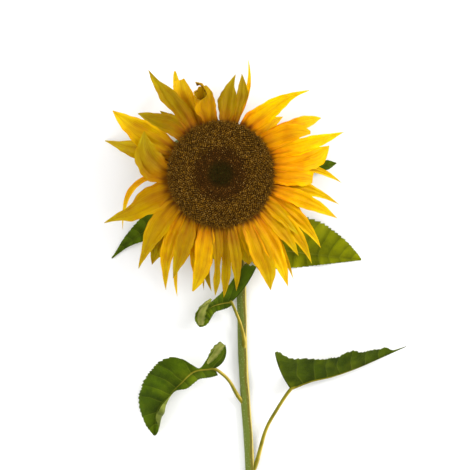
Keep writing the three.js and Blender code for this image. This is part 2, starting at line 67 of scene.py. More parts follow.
MM = 0.001
TURN = 2.0 * math.pi
UP = np.array([0.0, 0.0, 1.0])
GOLDEN_ANGLE = math.pi * (3.0 - math.sqrt(5.0))
ARC_HANDLE = 0.5523
"""Handle of a cubic Bezier curve that draws a quarter circle, as a share of its radius."""
SHARP_EDGE = math.radians(55.0)
LOWEST = 0.02
"""Lowest height of a blade's or a tube's skin, in millimetres."""
LOWEST_OVER = 0.5
"""Lowest height of a blade's upper face, which leaves room for its thickness."""


# ---- Numbers, curves and grids ---------------------------------------------------------------


def linear(red: float, green: float, blue: float) -> Colour:
    """Turns a display colour, 0 to 255, into the linear colour that shaders take."""
    return tuple(((c / 255.0 + 0.055) / 1.055) ** 2.4 if c > 10 else c / 3294.6 for c in (red, green, blue))


def unit(vectors: Array) -> Array:
    """Scales vectors along the last axis to length one."""
    return vectors / np.maximum(np.linalg.norm(vectors, axis=-1, keepdims=True), 1e-12)


def step(low: float, high: float, value: Array) -> Array:
    """Smooth step, 0 below `low` and 1 above `high`, as 3t^2 - 2t^3."""
    t = np.clip((value - low) / (high - low), 0.0, 1.0)
    return t * t * (3.0 - 2.0 * t)


def smooth(values: Sequence[float] | Array, u: Array) -> Array:
    """Smooth value at u, 0 to 1, through evenly spaced values.

    The curve is a uniform Catmull-Rom curve: between two values it is the cubic whose slope at each
    is half the difference of that value's neighbours, with the ends carried on in a straight line.

    Args:
        values: The values, or rows of values, in order.
        u: Places along them, 0 at the first and 1 at the last.

    Returns:
        One value, or one row, for each place.
    """
    rows = np.asarray(values, float)
    ends = np.concatenate([[2 * rows[0] - rows[1]], rows, [2 * rows[-1] - rows[-2]]])
    place = np.clip(np.asarray(u, float), 0.0, 1.0) * (len(rows) - 1)
    index = np.minimum(place.astype(int), len(rows) - 2)
    t = place - index
    if rows.ndim > 1:
        t = t[..., None]
    a, b, c, d = (ends[index + k] for k in range(4))
    return b + 0.5 * t * (c - a + t * (2 * a - 5 * b + 4 * c - d + t * (3 * (b - c) + d - a)))


def slope(values: Sequence[float] | Array, u: Array, reach: float = 1e-3) -> Array:
    """Direction of the curve through `values` at u, by a small difference."""
    return unit(smooth(values, np.minimum(u + reach, 1)) - smooth(values, np.maximum(u - reach, 0)))


def even_walk(points: Array, count: int) -> Array:
    """Picks `count` points at even distances along a line of many points.

    Args:
        points: Rows of x, y, z along the line.
        count: How many points to pick.

    Returns:
        The picked points, one row for each.
    """
    gaps = np.linalg.norm(np.diff(points, axis=0), axis=1)
    walked = np.concatenate([[0.0], np.cumsum(gaps)])
    wanted = np.linspace(0.0, walked[-1], count)
    return np.stack([np.interp(wanted, walked, points[:, k]) for k in range(3)], axis=1)


def grid(rows: int, columns: int) -> tuple[Array, Array]:
    """Even grid of places: u from 0 to 1 down the rows and v from -1 to 1 across the columns."""
    return np.meshgrid(np.linspace(0.0, 1.0, rows + 1), np.linspace(-1.0, 1.0, columns + 1), indexing="ij")


def facing(surface: Array) -> Array:
    """Unit normals of a grid of points: along the rows crossed with across the columns."""
    return unit(np.cross(np.gradient(surface, axis=0), np.gradient(surface, axis=1)))


def polar(radius: Array | float, bearing: Array | float, height: Array | float) -> Array:
    """Points at a distance and bearing, in degrees, round the head's axis, and at a height."""
    turn = np.radians(bearing)
    return np.stack(np.broadcast_arrays(radius * np.cos(turn), radius * np.sin(turn), height), axis=-1)


def mixed(first: Array, second: Array, share: Array) -> Array:
    """Blends two colours, or rows of colours, by a share from 0 to 1."""
    weight = np.asarray(share)[..., None]
    return np.asarray(first) * (1.0 - weight) + np.asarray(second) * weight


# ---- Meshes ----------------------------------------------------------------------------------


@dataclass
class Skin:
    """Grids of points in millimetres round the head's axis, gathered into one mesh.

    Every point carries a place on its own petal, leaf or tube, as a UV map, and a colour.
    """

    name: str
    points: list[Array] = field(default_factory=list)
    faces: list[Array] = field(default_factory=list)
    places: list[Array] = field(default_factory=list)
    colours: list[Array] = field(default_factory=list)
    count: int = 0

    def add(self, points: Array, faces: Array, places: Array, colours: Array) -> None:
        """Adds points with their faces, places and colours.

        Args:
            points: Rows of x, y, z.
            faces: Rows of four or three point numbers, counted from 0.
            places: Rows of u, v.
            colours: Rows of red, green, blue, or one colour for all.
        """
        points = points.reshape(-1, 3)
        self.points.append(points)
        self.faces.append(faces + self.count)
        self.places.append(np.broadcast_to(places, (len(points), 2)))
        self.colours.append(np.broadcast_to(colours, (len(points), 3)))
        self.count += len(points)

    def add_shell(self, middle: Array, thickness: Array | float, over: Array, under: Array) -> None:
        """Adds a closed thin blade round a grid: its points moved half the thickness each way.

        Args:
            middle: Grid of points, rows from root to tip and columns from right to left.
            thickness: One thickness, or one for each point.
            over: Colours of the upper face.
            under: Colours of the lower face.
        """
        rows, columns = middle.shape[:2]
        offset = facing(middle) * (np.broadcast_to(thickness, (rows, columns))[..., None] / 2.0)
        both = np.concatenate([(middle + offset).reshape(-1, 3), (middle - offset).reshape(-1, 3)])
        both[:, 2] = np.maximum(both[:, 2], np.repeat([LOWEST_OVER, LOWEST], rows * columns))
        top = np.arange(rows * columns).reshape(rows, columns)
        low = top + rows * columns
        faces = np.concatenate(
            [
                ring_of(top[:-1, :-1], top[1:, :-1], top[1:, 1:], top[:-1, 1:]),
                ring_of(low[:-1, :-1], low[:-1, 1:], low[1:, 1:], low[1:, :-1]),
                ring_of(top[:-1, 0], low[:-1, 0], low[1:, 0], top[1:, 0]),
                ring_of(top[:-1, -1], top[1:, -1], low[1:, -1], low[:-1, -1]),
                ring_of(top[0, :-1], top[0, 1:], low[0, 1:], low[0, :-1]),
                ring_of(top[-1, :-1], low[-1, :-1], low[-1, 1:], top[-1, 1:]),
            ]
        )
        u, v = grid(rows - 1, columns - 1)
        places = np.tile(np.stack([u, v], axis=-1).reshape(-1, 2), (2, 1))
        shape = (rows, columns, 3)
        colours = np.concatenate([np.broadcast_to(face, shape) for face in (over, under)])
        self.add(both, faces, places, colours.reshape(-1, 3))

    def add_tube(self, rings: Array, colours: Array) -> None:
        """Adds a tube through rings of points, closed by a fan at each end.

        Its places have v from 2 to 3 round the tube, which no blade has.

        Args:
            rings: Grid of points, one row for each ring, going round anticlockwise as the tube runs.
            colours: One colour, or one for each point.
        """
        steps, sides = rings.shape[:2]
        number = np.arange(steps * sides).reshape(steps, sides)
        turned = np.roll(number, -1, axis=1)
        faces = ring_of(number[:-1], turned[:-1], turned[1:], number[1:])
        u = np.repeat(np.linspace(0.0, 1.0, steps), sides)
        places = np.stack([u, np.tile(2.0 + np.arange(sides) / sides, steps)], axis=-1)
        self.add(rings, faces, places, np.broadcast_to(colours, (steps, sides, 3)).reshape(-1, 3))
        start = self.count - steps * sides
        shades = self.colours[-1]
        for row, turn in ((number[0], -1), (number[-1], 1)):
            middle = rings.reshape(-1, 3)[row].mean(axis=0)
            self.add(middle[None], np.empty((0, 4), int), np.zeros((1, 2)), shades[row].mean(axis=0))
            centre = np.full(sides, self.count - 1)
            self.faces.append(ring_of(row + start, np.roll(row, -turn) + start, centre, centre))

    def make(self, origin: Array, material: Material) -> bpy.types.Object:
        """Makes the object, smoothly shaded except at sharp edges.

        Args:
            origin: Where the head's axis meets the surface, in metres.
            material: Finish of the whole piece.

        Returns:
            The new object, at the origin, with its place in its mesh.
        """
        points = np.concatenate(self.points) * MM + origin
        faces = np.concatenate(self.faces)
        sizes = np.where(faces[:, 3] == faces[:, 2], 3, 4)
        corners = faces[np.arange(4)[None, :] < sizes[:, None]]
        mesh = bpy.data.meshes.new(self.name)
        mesh.vertices.add(len(points))
        mesh.vertices.foreach_set("co", points.astype(np.float32).ravel())
        mesh.loops.add(len(corners))
        mesh.loops.foreach_set("vertex_index", corners.astype(np.int32))
        mesh.polygons.add(len(faces))
        starts = np.concatenate([[0], np.cumsum(sizes)[:-1]])
        mesh.polygons.foreach_set("loop_start", starts.astype(np.int32))
        mesh.update(calc_edges=True)
        uv = mesh.uv_layers.new(name="place")
        uv.data.foreach_set("uv", np.concatenate(self.places)[corners].astype(np.float32).ravel())
        tint = mesh.color_attributes.new("tint", "FLOAT_COLOR", "POINT")
        shades = np.concatenate(self.colours)
        tint.data.foreach_set("color", np.c_[shades, np.ones(len(shades))].astype(np.float32).ravel())
        mesh.shade_smooth()
        mesh.set_sharp_from_angle(angle=SHARP_EDGE)
        mesh.validate()
        mesh.materials.append(material)
        made = bpy.data.objects.new(self.name, mesh)
        bpy.context.scene.collection.objects.link(made)
        return made


def ring_of(*corners: Array) -> Array:
    """Stacks matching arrays of point numbers into rows of faces."""
    return np.stack([c.ravel() for c in corners], axis=-1)


def tube_rings(line: Array, radii: Array, sides: int, profile: Array | None = None) -> Array:
    """Rings of a tube along a line of points: centre + radius (cos a side + sin a up).

    The first ring's side is level, and each further one is the last one's, made square to the line.

    Args:
        line: Points along the middle.
        radii: Radius at each point.
        sides: Points round the tube.
        profile: Share of the radius for each ring and side, for ribs.

    Returns:
        Grid of points, one row for each ring.
    """
    ahead = unit(np.gradient(line, axis=0))
    side = np.empty_like(line)
    side[0] = unit(np.cross(UP, ahead[0]))
    for k in range(1, len(line)):
        side[k] = unit(side[k - 1] - ahead[k] * np.dot(side[k - 1], ahead[k]))
    rise = np.cross(ahead, side)
    a = np.arange(sides) * TURN / sides - math.pi / 2
    size = radii[:, None] * (1.0 if profile is None else profile)
    across = (size * np.cos(a))[..., None] * side[:, None] + (size * np.sin(a))[..., None] * rise[:, None]
    return line[:, None] + across


@dataclass(kw_only=True)
class Piece:
    """Piece of the flower that is built in place of one plain solid.

    `node` names the solid and `title` the piece itself. `slot` names the slot of its finish and is not used.
    """

    node: str
    title: str
    slot: str

    def fill(self, skin: Skin) -> None:
        """Adds all that the piece is made of to its skin."""
        raise NotImplementedError

    def build(self, origin: Array, material: Material) -> bpy.types.Object:
        """Builds the piece and dresses it.

        Args:
            origin: Where the head's axis meets the surface, in metres.
            material: The piece's finish.

        Returns:
            The piece.
        """
        skin = Skin(self.title)
        self.fill(skin)
        made = skin.make(origin, material)
        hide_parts(self.node)
        return made


# ---- Finishes --------------------------------------------------------------------------------


class NodeBench:
    """Adds and links the nodes of one shader tree, from left to right."""

    def __init__(self, tree: NodeTree) -> None:
        """Works on `tree`, from an empty sheet."""
        self.tree = tree
        tree.nodes.clear()

    def feed(self, socket: Socket, value: object) -> None:
        """Links another node's output to a socket, or sets the socket to a number or a colour.

        Args:
            socket: Input that takes the value.
            value: A number, a vector, a colour or another node's output.
        """
        if isinstance(value, Socket):
            self.tree.links.new(value, socket)
        else:
            socket.default_value = (*value, 1.0) if socket.type == "RGBA" else value

    def add(self, kind: str, inputs: dict[str | int, object] | None = None, **settings: object) -> Node:
        """Adds a node.

        Args:
            kind: Name of the node's type, such as "ShaderNodeMath".
            inputs: Socket to a value, or to another node's output that is linked to it.
            settings: Properties of the node, set before its inputs.

        Returns:
            The new node.
        """
        node = self.tree.nodes.new(kind)
        for key, value in settings.items():
            setattr(node, key, value)
        for socket, value in (inputs or {}).items():
            self.feed(node.inputs[socket], value)
        return node

    def group(self, tree: NodeTree, **inputs: object) -> bpy.types.bpy_prop_collection:
        """Outputs of a node group that is fed with the named inputs."""
        return self.add("ShaderNodeGroup", inputs, node_tree=tree).outputs

    def math(self, operation: str, *values: object, clamp: bool = False) -> Socket:
        """Result of a Math node on numbers or sockets."""
        inputs = dict(enumerate(values))
        return self.add("ShaderNodeMath", inputs, operation=operation, use_clamp=clamp).outputs[0]

    def ramp(self, value: Socket, low: float, high: float, start: float = 0.0, end: float = 1.0) -> Socket:
        """Smooth step of a socket from `low` to `high`, put out as `start` to `end`."""
        inputs = {0: value, 1: low, 2: high, 3: start, 4: end}
        return self.add("ShaderNodeMapRange", inputs, interpolation_type="SMOOTHSTEP").outputs[0]

    def blend(self, share: object, first: object, second: object, how: str = "MIX") -> Socket:
        """Colour that goes from `first` to `second` by `share`."""
        inputs = {0: share, 6: first, 7: second}
        return self.add("ShaderNodeMix", inputs, data_type="RGBA", blend_type=how).outputs[2]

    def noise(self, where: object, scale: float, detail: float = 3.0, rough: float = 0.55) -> Socket:
        """Value of a noise texture, 0 to 1."""
        inputs = {"Vector": where, "Scale": scale, "Detail": detail, "Roughness": rough}
        return self.add("ShaderNodeTexNoise", inputs).outputs[0]


@dataclass(frozen=True)
class Finish:
    """Shared part of every finish: how matt it is, and how far light of each colour sinks in.

    `glow_depth` is in metres, and `glow_colour` the share of it that red, green and blue reach.
    """

    name: str
    roughness: float = 0.6
    specular: float = 0.2
    glow_depth: float = 0.0
    glow_colour: Colour = (1.0, 0.7, 0.15)


class MaterialBench(NodeBench):
    """Bench of one material, with its Principled shader set from a finish."""

    def __init__(self, finish: Finish) -> None:
        """Starts the material of `finish`.

        Args:
            finish: Finish that gives the name and the shader's numbers.
        """
        self.material = bpy.data.materials.new(finish.name)
        self.material.use_nodes = True
        super().__init__(self.material.node_tree)
        settings = {"Roughness": finish.roughness, "Specular IOR Level": finish.specular}
        if finish.glow_depth:
            settings["Subsurface Weight"] = 1.0
            settings["Subsurface Radius"] = finish.glow_colour
            settings["Subsurface Scale"] = finish.glow_depth
        self.shader = self.add("ShaderNodeBsdfPrincipled", settings)
        self.add("ShaderNodeOutputMaterial", {"Surface": self.shader.outputs[0]})

    def place(self) -> Socket:
        """Place on the piece's own petal, leaf or tube."""
        return self.add("ShaderNodeUVMap", uv_map="place").outputs[0]

    def where(self) -> Socket:
        """Place in the whole flower."""
        return self.add("ShaderNodeTexCoord").outputs["Object"]

    def tint(self) -> Socket:
        """Colour that the mesh carries."""
        return self.add("ShaderNodeVertexColor", layer_name="tint").outputs[0]

    def dress(
        self, colour: Socket, height: Socket | None = None, depth: float = 0.0, strength: float = 0.0
    ) -> Material:
        """Links the pattern to the shader.

        Args:
            colour: Colour over the surface.
            height: Relief from 0 to 1, or None on a smooth surface.
            depth: Depth of the relief in metres.
            strength: How much of the relief shows.

        Returns:
            The finished material.
        """
        self.feed(self.shader.inputs["Base Color"], colour)
        if height is not None:
            relief = self.add("ShaderNodeBump", {"Height": height, "Distance": depth, "Strength": strength})
            self.feed(self.shader.inputs["Normal"], relief.outputs[0])
        return self.material


def new_group(
    name: str, vectors: Sequence[str], numbers: dict[str, float], results: Sequence[str]
) -> tuple[NodeBench, bpy.types.bpy_prop_collection]:
    """Starts a node group.

    Args:
        name: The group's name.
        vectors: Names of the inputs that take a vector.
        numbers: Names of the inputs that take a number, with their usual values.
        results: Names of the outputs, which are all numbers.

    Returns:
        The bench of the group's nodes, and the outputs of its input node.
    """
    tree = bpy.data.node_groups.new(name, "ShaderNodeTree")
    bench = NodeBench(tree)
    for title in vectors:
        tree.interface.new_socket(title, in_out="INPUT", socket_type="NodeSocketVector")
    for title, usual in numbers.items():
        tree.interface.new_socket(title, in_out="INPUT", socket_type="NodeSocketFloat").default_value = usual
    for title in results:
        tree.interface.new_socket(title, in_out="OUTPUT", socket_type="NodeSocketFloat")
    return bench, bench.add("NodeGroupInput").outputs


def vein_group() -> NodeTree:
    """Node group that draws a leaf's veins from its place: u along the midrib and v across.

    A side vein follows each line of constant u, every 1/Count, and thins out towards the edge. The
    midrib follows v = 0. Net is a fine mesh of veinlets from the edges of Voronoi cells. The quilt
    mask goes from 0 to 1 between one side vein and the next; it places painted shade that darkens
    each panel between side veins towards one side, as if lit from the other. Tubes and rolled edges,
    which have v over 1.5, have none of them.

    Returns:
        The group.
    """
    numbers = {"Count": 9.0, "Width": 0.06, "Midrib": 0.045, "Cell": 520.0}
    bench, given = new_group("leaf veins", ("Place", "Where"), numbers, ("Veins", "Net", "QuiltShade"))
    split = bench.add("ShaderNodeSeparateXYZ", {0: given["Place"]}).outputs
    out = bench.math("ABSOLUTE", split[1])
    drift = bench.math("MULTIPLY", bench.noise(given["Where"], 38.0, 1.0), 0.7)
    cycle = bench.math("FRACT", bench.math("MULTIPLY_ADD", split[0], given["Count"], drift))
    away = bench.math("ABSOLUTE", bench.math("SUBTRACT", cycle, 0.5))
    thin = bench.math("MULTIPLY", given["Width"], bench.math("SUBTRACT", 1.15, out))
    side = bench.math("SUBTRACT", 1.0, bench.math("DIVIDE", away, thin), clamp=True)
    rib = bench.math("SUBTRACT", 1.0, bench.math("DIVIDE", out, given["Midrib"]), clamp=True)
    blade = bench.math("LESS_THAN", out, 1.5)
    both = bench.math("MULTIPLY", bench.math("MAXIMUM", side, rib), blade)
    cells = {"Vector": given["Where"], "Scale": given["Cell"]}
    edges = bench.add("ShaderNodeTexVoronoi", cells, feature="DISTANCE_TO_EDGE").outputs[0]
    net = bench.math("MULTIPLY", bench.ramp(edges, 0.0, 0.16, 1.0, 0.0), blade)
    between = bench.math("FRACT", bench.math("ADD", cycle, 0.5))
    # Painted shade between side veins: 0 just past one vein, rising to 1 at the next.
    quilt = bench.math("MULTIPLY", bench.ramp(between, 0.1, 0.95), blade)
    bench.add("NodeGroupOutput", {"Veins": both, "Net": net, "QuiltShade": quilt})
    return bench.tree


def streak_group() -> NodeTree:
    """Node group of fine lengthwise streaks: noise stretched along u and packed across v.

    Returns:
        The group.
    """
    bench, given = new_group("streaks", ("Place",), {"Across": 9.0, "Along": 1.2}, ("Streaks",))
    split = bench.add("ShaderNodeSeparateXYZ", {0: given["Place"]}).outputs
    along = bench.math("MULTIPLY", split[0], given["Along"])
    across = bench.math("MULTIPLY", split[1], given["Across"])
    packed = bench.add("ShaderNodeCombineXYZ", {0: along, 1: across, 2: split[2]}).outputs[0]
    bench.add("NodeGroupOutput", {"Streaks": bench.noise(packed, 1.0, detail=4.0, rough=0.6)})
    return bench.tree


@dataclass(frozen=True)
class PetalFinish(Finish):
    """Thin satin petal: nerves along it, a little blotchy, painted shade along lengthwise creases, light
    passing through.
    """

    name: str = "ray petal"
    roughness: float = 0.55
    specular: float = 0.06
    glow_depth: float = 0.0003
    nerve: Colour = linear(166, 110, 0)
    blotch: Colour = linear(226, 192, 60)
    # Colour of the painted shade along lengthwise creases.
    fold_shade: Colour = linear(206, 158, 30)

    def make(self, streaks: NodeTree) -> Material:
        """Builds the material, with the nerves and the painted crease shade from the streaks group.

        Args:
            streaks: Group that draws lengthwise streaks.

        Returns:
            The finished material.
        """
        bench = MaterialBench(self)
        place = bench.place()
        fine = bench.group(streaks, Place=place, Across=11.0, Along=1.6)[0]
        nerves = bench.math("MULTIPLY", bench.ramp(fine, 0.38, 0.66), 0.26)
        nerved = bench.blend(nerves, bench.tint(), self.nerve, "MULTIPLY")
        patches = bench.ramp(bench.noise(bench.where(), 70.0), 0.32, 0.72, 0.0, 0.55)
        blotched = bench.blend(patches, nerved, self.blotch, "MULTIPLY")
        broad = bench.group(streaks, Place=place, Across=2.2, Along=1.1)[0]
        # Painted shade: broad lengthwise streaks darken the petal along its creases.
        creases = bench.ramp(broad, 0.52, 0.64, 0.0, 0.5)
        colour = bench.blend(creases, blotched, self.fold_shade, "MULTIPLY")
        return bench.dress(colour, fine, depth=0.0006, strength=0.4)


@dataclass(frozen=True)
class LeafFinish(Finish):
    """Rough leaf: paler sunken veins, a fine net of veinlets and soft blotches.

    It has painted patches of sunlight, and painted shade in each panel between the side veins.
    """

    name: str = "leaf"
    roughness: float = 0.5
    specular: float = 0.04
    blotch: Colour = linear(96, 120, 20)
    sunny: Colour = linear(140, 152, 16)
    # Colour of the painted shade between side veins.
    quilt: Colour = linear(110, 130, 30)
    net: Colour = linear(140, 150, 40)
    vein: Colour = linear(150, 158, 44)

    def make(self, veins: NodeTree) -> Material:
        """Builds the material, with the veins from the veins group.

        Args:
            veins: Group that draws a leaf's veins.

        Returns:
            The finished material.
        """
        bench = MaterialBench(self)
        where = bench.where()
        lines = bench.group(veins, Place=bench.place(), Where=where)
        blotches = bench.math("MULTIPLY", bench.ramp(bench.noise(where, 55.0, 4.0), 0.36, 0.64), 0.5)
        blotched = bench.blend(blotches, bench.tint(), self.blotch, "MULTIPLY")
        sun = bench.ramp(bench.noise(where, 32.0, 2.0), 0.5, 0.72, 0.0, 0.22)
        light = bench.blend(sun, blotched, self.sunny)
        # Painted shade: each panel between side veins darkens towards one side.
        quilted = bench.blend(bench.math("MULTIPLY", lines["QuiltShade"], 0.42), light, self.quilt, "MULTIPLY")
        netted = bench.blend(bench.math("MULTIPLY", lines["Net"], 0.05), quilted, self.net)
        colour = bench.blend(bench.math("MULTIPLY", lines["Veins"], 0.15), netted, self.vein)
        sunk = bench.math("ADD", lines["Veins"], bench.math("MULTIPLY", lines["Net"], 0.35))
        fallen = bench.math("MULTIPLY", sunk, -1.0)
        relief = bench.math("MULTIPLY_ADD", bench.noise(where, 400.0, 2.0), 0.4, fallen)
        return bench.dress(colour, relief, depth=0.0009, strength=0.45)


@dataclass(frozen=True)
class StemFinish(Finish):
    """Ribbed matt stem: lengthwise streaks of dark and pale green, with small pale specks."""

    name: str = "stem"
    roughness: float = 0.5
    specular: float = 0.15
    rib: Colour = linear(176, 170, 92)
    speck: Colour = linear(214, 212, 150)

    def make(self, streaks: NodeTree) -> Material:
        """Builds the material, with the ribs' colour from the streaks group.

        Args:
            streaks: Group that draws lengthwise streaks.

        Returns:
            The finished material.
        """
        bench = MaterialBench(self)
        ribs = bench.group(streaks, Place=bench.place(), Across=30.0, Along=5.0)[0]
        ribbed = bench.blend(bench.ramp(ribs, 0.35, 0.68, 0.0, 0.55), bench.tint(), self.rib, "SOFT_LIGHT")
        specks = bench.ramp(bench.noise(bench.where(), 900.0, 1.0), 0.62, 0.72, 0.0, 0.1)
        return bench.dress(bench.blend(specks, ribbed, self.speck), ribs, depth=0.0008, strength=0.5)


@dataclass(frozen=True)
class FloretFinish(Finish):
    """Powdery florets: the tint of each one, speckled finely."""

    name: str = "floret"
    roughness: float = 0.85
    specular: float = 0.04
    speck: Colour = linear(30, 16, 6)

    def make(self) -> Material:
        """Builds the material.

        Returns:
            The finished material.
        """
        bench = MaterialBench(self)
        where = bench.where()
        specks = bench.ramp(bench.noise(where, 1400.0, 2.0), 0.4, 0.7, 0.0, 0.5)
        colour = bench.blend(specks, bench.tint(), self.speck, "MULTIPLY")
        return bench.dress(colour, bench.noise(where, 1800.0, 2.0), depth=0.0003, strength=0.5)


@dataclass(frozen=True)
class FloorFinish(Finish):
    """Matt and nearly white floor, with faint clouds."""

    name: str = "pale floor"
    roughness: float = 0.9
    specular: float = 0.1
    darker: Colour = (0.96, 0.96, 0.96)
    lighter: Colour = (0.98, 0.98, 0.98)

    def make(self) -> Material:
        """Builds the material."""
        bench = MaterialBench(self)
        return bench.dress(bench.blend(bench.noise(bench.where(), 8.0), self.darker, self.lighter))


# ---- The stem --------------------------------------------------------------------------------


@dataclass(kw_only=True)
class Stem(Piece):
    """Long ribbed stem on the surface, with a bent neck under the head and a plain cut end.

    `run` holds the places of its middle from the cut end to the neck, and `swell` its radius as a
    share of `radius` at even steps. `pith_rings` are the rings of the cut inside its edge, as shares
    of the radius. A strip holds the middle and the width of a coloured band, as shares of the way
    round.
    """

    node: str = "stem"
    title: str = "stem_ribbed"
    slot: str = "stem"
    radius: float = 4.9
    rest: float = 4.5
    bend: float = 24.0
    heading: float = math.atan2(22.9, -7.2)
    run: tuple[tuple[float, float], ...] = (
        (31.5, -329.9), (29, -279), (25.6, -231), (22.7, -180), (21.6, -127), (20, -84), (15, -50),
    )
    swell: tuple[float, ...] = (1.06, 1.0, 0.99, 1.0, 1.0, 1.0, 1.02, 1.06, 1.1, 1.18, 1.32, 8.6 / 4.9)
    ribs: int = 13
    rings: int = 300
    sides: int = 52
    hairs: int = 1500
    hair_foot: float = 0.13
    hair_length: tuple[float, float] = (0.7, 1.7)
    pith_rings: tuple[float, float] = (0.45, 0.84)
    brown_strip: tuple[float, float] = (0.585, 0.05)
    pale_rib_and_lit_strip: tuple[float, float] = (0.7, 0.065)
    seed: int = 5
    green: Colour = linear(98, 112, 40)
    brown: Colour = linear(104, 88, 12)
    # Pale strip: partly a pale rib, partly painted light on the side towards the key lamp.
    pale: Colour = linear(240, 214, 128)
    pith: Colour = linear(226, 222, 180)
    hair: Colour = linear(222, 222, 170)

    @property
    def top(self) -> float:
        """Height of the joint with the head."""
        return self.rest + self.bend

    def line(self) -> Array:
        """Middle of the stem: a smooth curve through the run, then a quarter turn upwards.

        Returns:
            Points at even distances, from the cut end to the head.
        """
        ahead = np.array([math.cos(self.heading), math.sin(self.heading), 0.0])
        start = -ahead * self.bend + UP * self.rest
        flat = [(x, y, self.rest) for x, y in self.run] + [tuple(start)]
        along = smooth(flat, np.linspace(0.0, 1.0, 400))
        t = np.linspace(0.0, 1.0, 80)[1:, None]
        reach = ARC_HANDLE * self.bend
        end = UP * self.top
        near, far = start + ahead * reach, end - UP * reach
        turn = (1 - t) ** 3 * start + 3 * (1 - t) ** 2 * t * near + 3 * (1 - t) * t**2 * far + t**3 * end
        return even_walk(np.concatenate([along, turn]), self.rings)

    def surface(self) -> Array:
        """Grid of points: rings with shallow ribs, flattened where they meet the surface.

        Returns:
            Points, one row for each ring from the cut end to the head.
        """
        u = np.linspace(0.0, 1.0, self.rings)
        radii = smooth(self.swell, u) * self.radius
        a = np.arange(self.sides)[None] * TURN / self.sides
        ribs = 0.02 * np.cos(self.ribs * a + 0.6 * np.sin(u * 9.0)[:, None])
        dents = 0.008 * np.cos(5 * a + 40 * u[:, None])
        rings = tube_rings(self.line(), radii, self.sides, 0.972 + ribs + dents)
        rings[..., 2] = np.maximum(rings[..., 2], 0.0)
        return rings

    def add_hairs(self, skin: Skin, rings: Array) -> None:
        """Adds short stiff hairs: three-sided spikes that stand out from the stem's skin.

        Args:
            skin: Mesh that takes them.
            rings: The stem's surface.
        """
        rng = np.random.default_rng(self.seed)
        ring = rng.integers(3, self.rings - 12, self.hairs)
        side = rng.integers(0, self.sides, self.hairs)
        root = rings[ring, side]
        out = unit(root - rings[ring].mean(axis=1))
        keep = out[:, 2] > -0.35
        root, out = root[keep], out[keep]
        count = len(root)
        lean = unit(out + 0.5 * rng.normal(size=(count, 3)))
        across = unit(np.cross(out, rng.normal(size=(count, 3))))
        other = np.cross(out, across)
        a = np.arange(3) * TURN / 3
        foot = np.cos(a)[:, None] * across[:, None] + np.sin(a)[:, None] * other[:, None]
        base = root[:, None] + self.hair_foot * foot - 0.1 * out[:, None]
        tip = root + lean * rng.uniform(*self.hair_length, (count, 1))
        points = np.concatenate([base, tip[:, None]], axis=1)
        spike = np.array([[0, 1, 3, 3], [1, 2, 3, 3], [2, 0, 3, 3], [0, 2, 1, 1]])
        faces = (np.arange(count)[:, None, None] * 4 + spike).reshape(-1, 4)
        skin.add(points, faces, np.zeros(2), self.hair)

    def shades(self, rings: int) -> Array:
        """Colours round the stem: green ribs, a brown strip beside a pale one, and the pith.

        The pale strip, on the upper side towards +x where the key lamp is, is partly a pale rib and
        partly painted light.

        Args:
            rings: How many rings the stem has, with those of the pith.

        Returns:
            A colour for each point.
        """
        u = np.linspace(0.0, 1.0, rings)[:, None]
        v = np.arange(self.sides) / self.sides + 0.02 * np.sin(21 * u) + 0.012 * np.sin(57 * u)
        brown, pale = ((v - middle) / width for middle, width in (self.brown_strip, self.pale_rib_and_lit_strip))
        shades = mixed(self.green, self.brown, 0.8 * np.exp(-(brown**2)))
        # Painted light over a pale rib: the pale strip on the upper +x side, towards the key lamp.
        shades = mixed(shades, self.pale, np.exp(-(pale**4)) * 0.9)
        shades = mixed(shades, self.green, 0.35 * np.sin(self.ribs * v * TURN) ** 2 * (v < 0.5))
        shades[: len(self.pith_rings)] = self.pith
        return shades

    def fill(self, skin: Skin) -> None:
        """Adds the stem with its hairs, and with pale pith at the cut.

        Args:
            skin: Mesh that takes the piece.
        """
        surface = self.surface()
        middle = surface[0].mean(axis=0)
        inner = [middle + (surface[0] - middle) * share for share in self.pith_rings]
        rings = np.concatenate([inner, surface])
        skin.add_tube(rings, self.shades(len(rings)))
        self.add_hairs(skin, surface)


# ---- The leaves ------------------------------------------------------------------------------


@dataclass(frozen=True)
class HalfBlade:
    """One side of a leaf's blade, from its base to its tip.

    `reach` is the half width, `slant` the angle of the side veins from the midrib, `tilt` how
    steeply the half leaves the midrib, `curl` how much steeper it is at the edge and `sweep` how
    much further back the veins start than they end, in degrees.
    """

    reach: tuple[float, ...]
    slant: tuple[float, ...]
    tilt: tuple[float, ...]
    curl: tuple[float, ...]
    sweep: tuple[float, ...] = (12, 12)


@dataclass(frozen=True)
class Greens:
    """Colours of a leaf: upper face, the same where the light catches it, and underside."""

    over: Colour
    bright: Colour
    under: Colour


@dataclass(frozen=True)
class Roll:
    """Edge of a blade that has rolled over and shows its underside.

    `crest` runs along its top and `half` holds its half widths at even steps along the crest.
    """

    crest: tuple[Place, ...]
    half: tuple[float, ...]
    bend: float = 75.0
    rows: int = 40
    columns: int = 10

    def surface(self) -> Array:
        """Grid of points: an arch that falls away from the crest, by `bend` degrees on each side.

        Returns:
            Points, one row for each step along the crest.
        """
        u, v = grid(self.rows, self.columns)
        aside = unit(np.cross(UP, slope(self.crest, u)))
        turn = np.radians(self.bend) * v
        half = smooth(self.half, u) * (1 + 0.1 * np.sin(29 * u) * v)
        arch = aside * np.sin(turn)[..., None] - UP * (1 - np.cos(turn))[..., None]
        return smooth(self.crest, u) + half[..., None] * arch


DARK_LEAF = Greens(linear(74, 96, 4), linear(104, 122, 10), linear(134, 142, 60))
SUNNY_LEAF = Greens(linear(112, 119, 0), linear(172, 168, 0), linear(136, 150, 60))
DEEP_LEAF = Greens(linear(56, 74, 2), linear(78, 94, 6), linear(134, 142, 60))


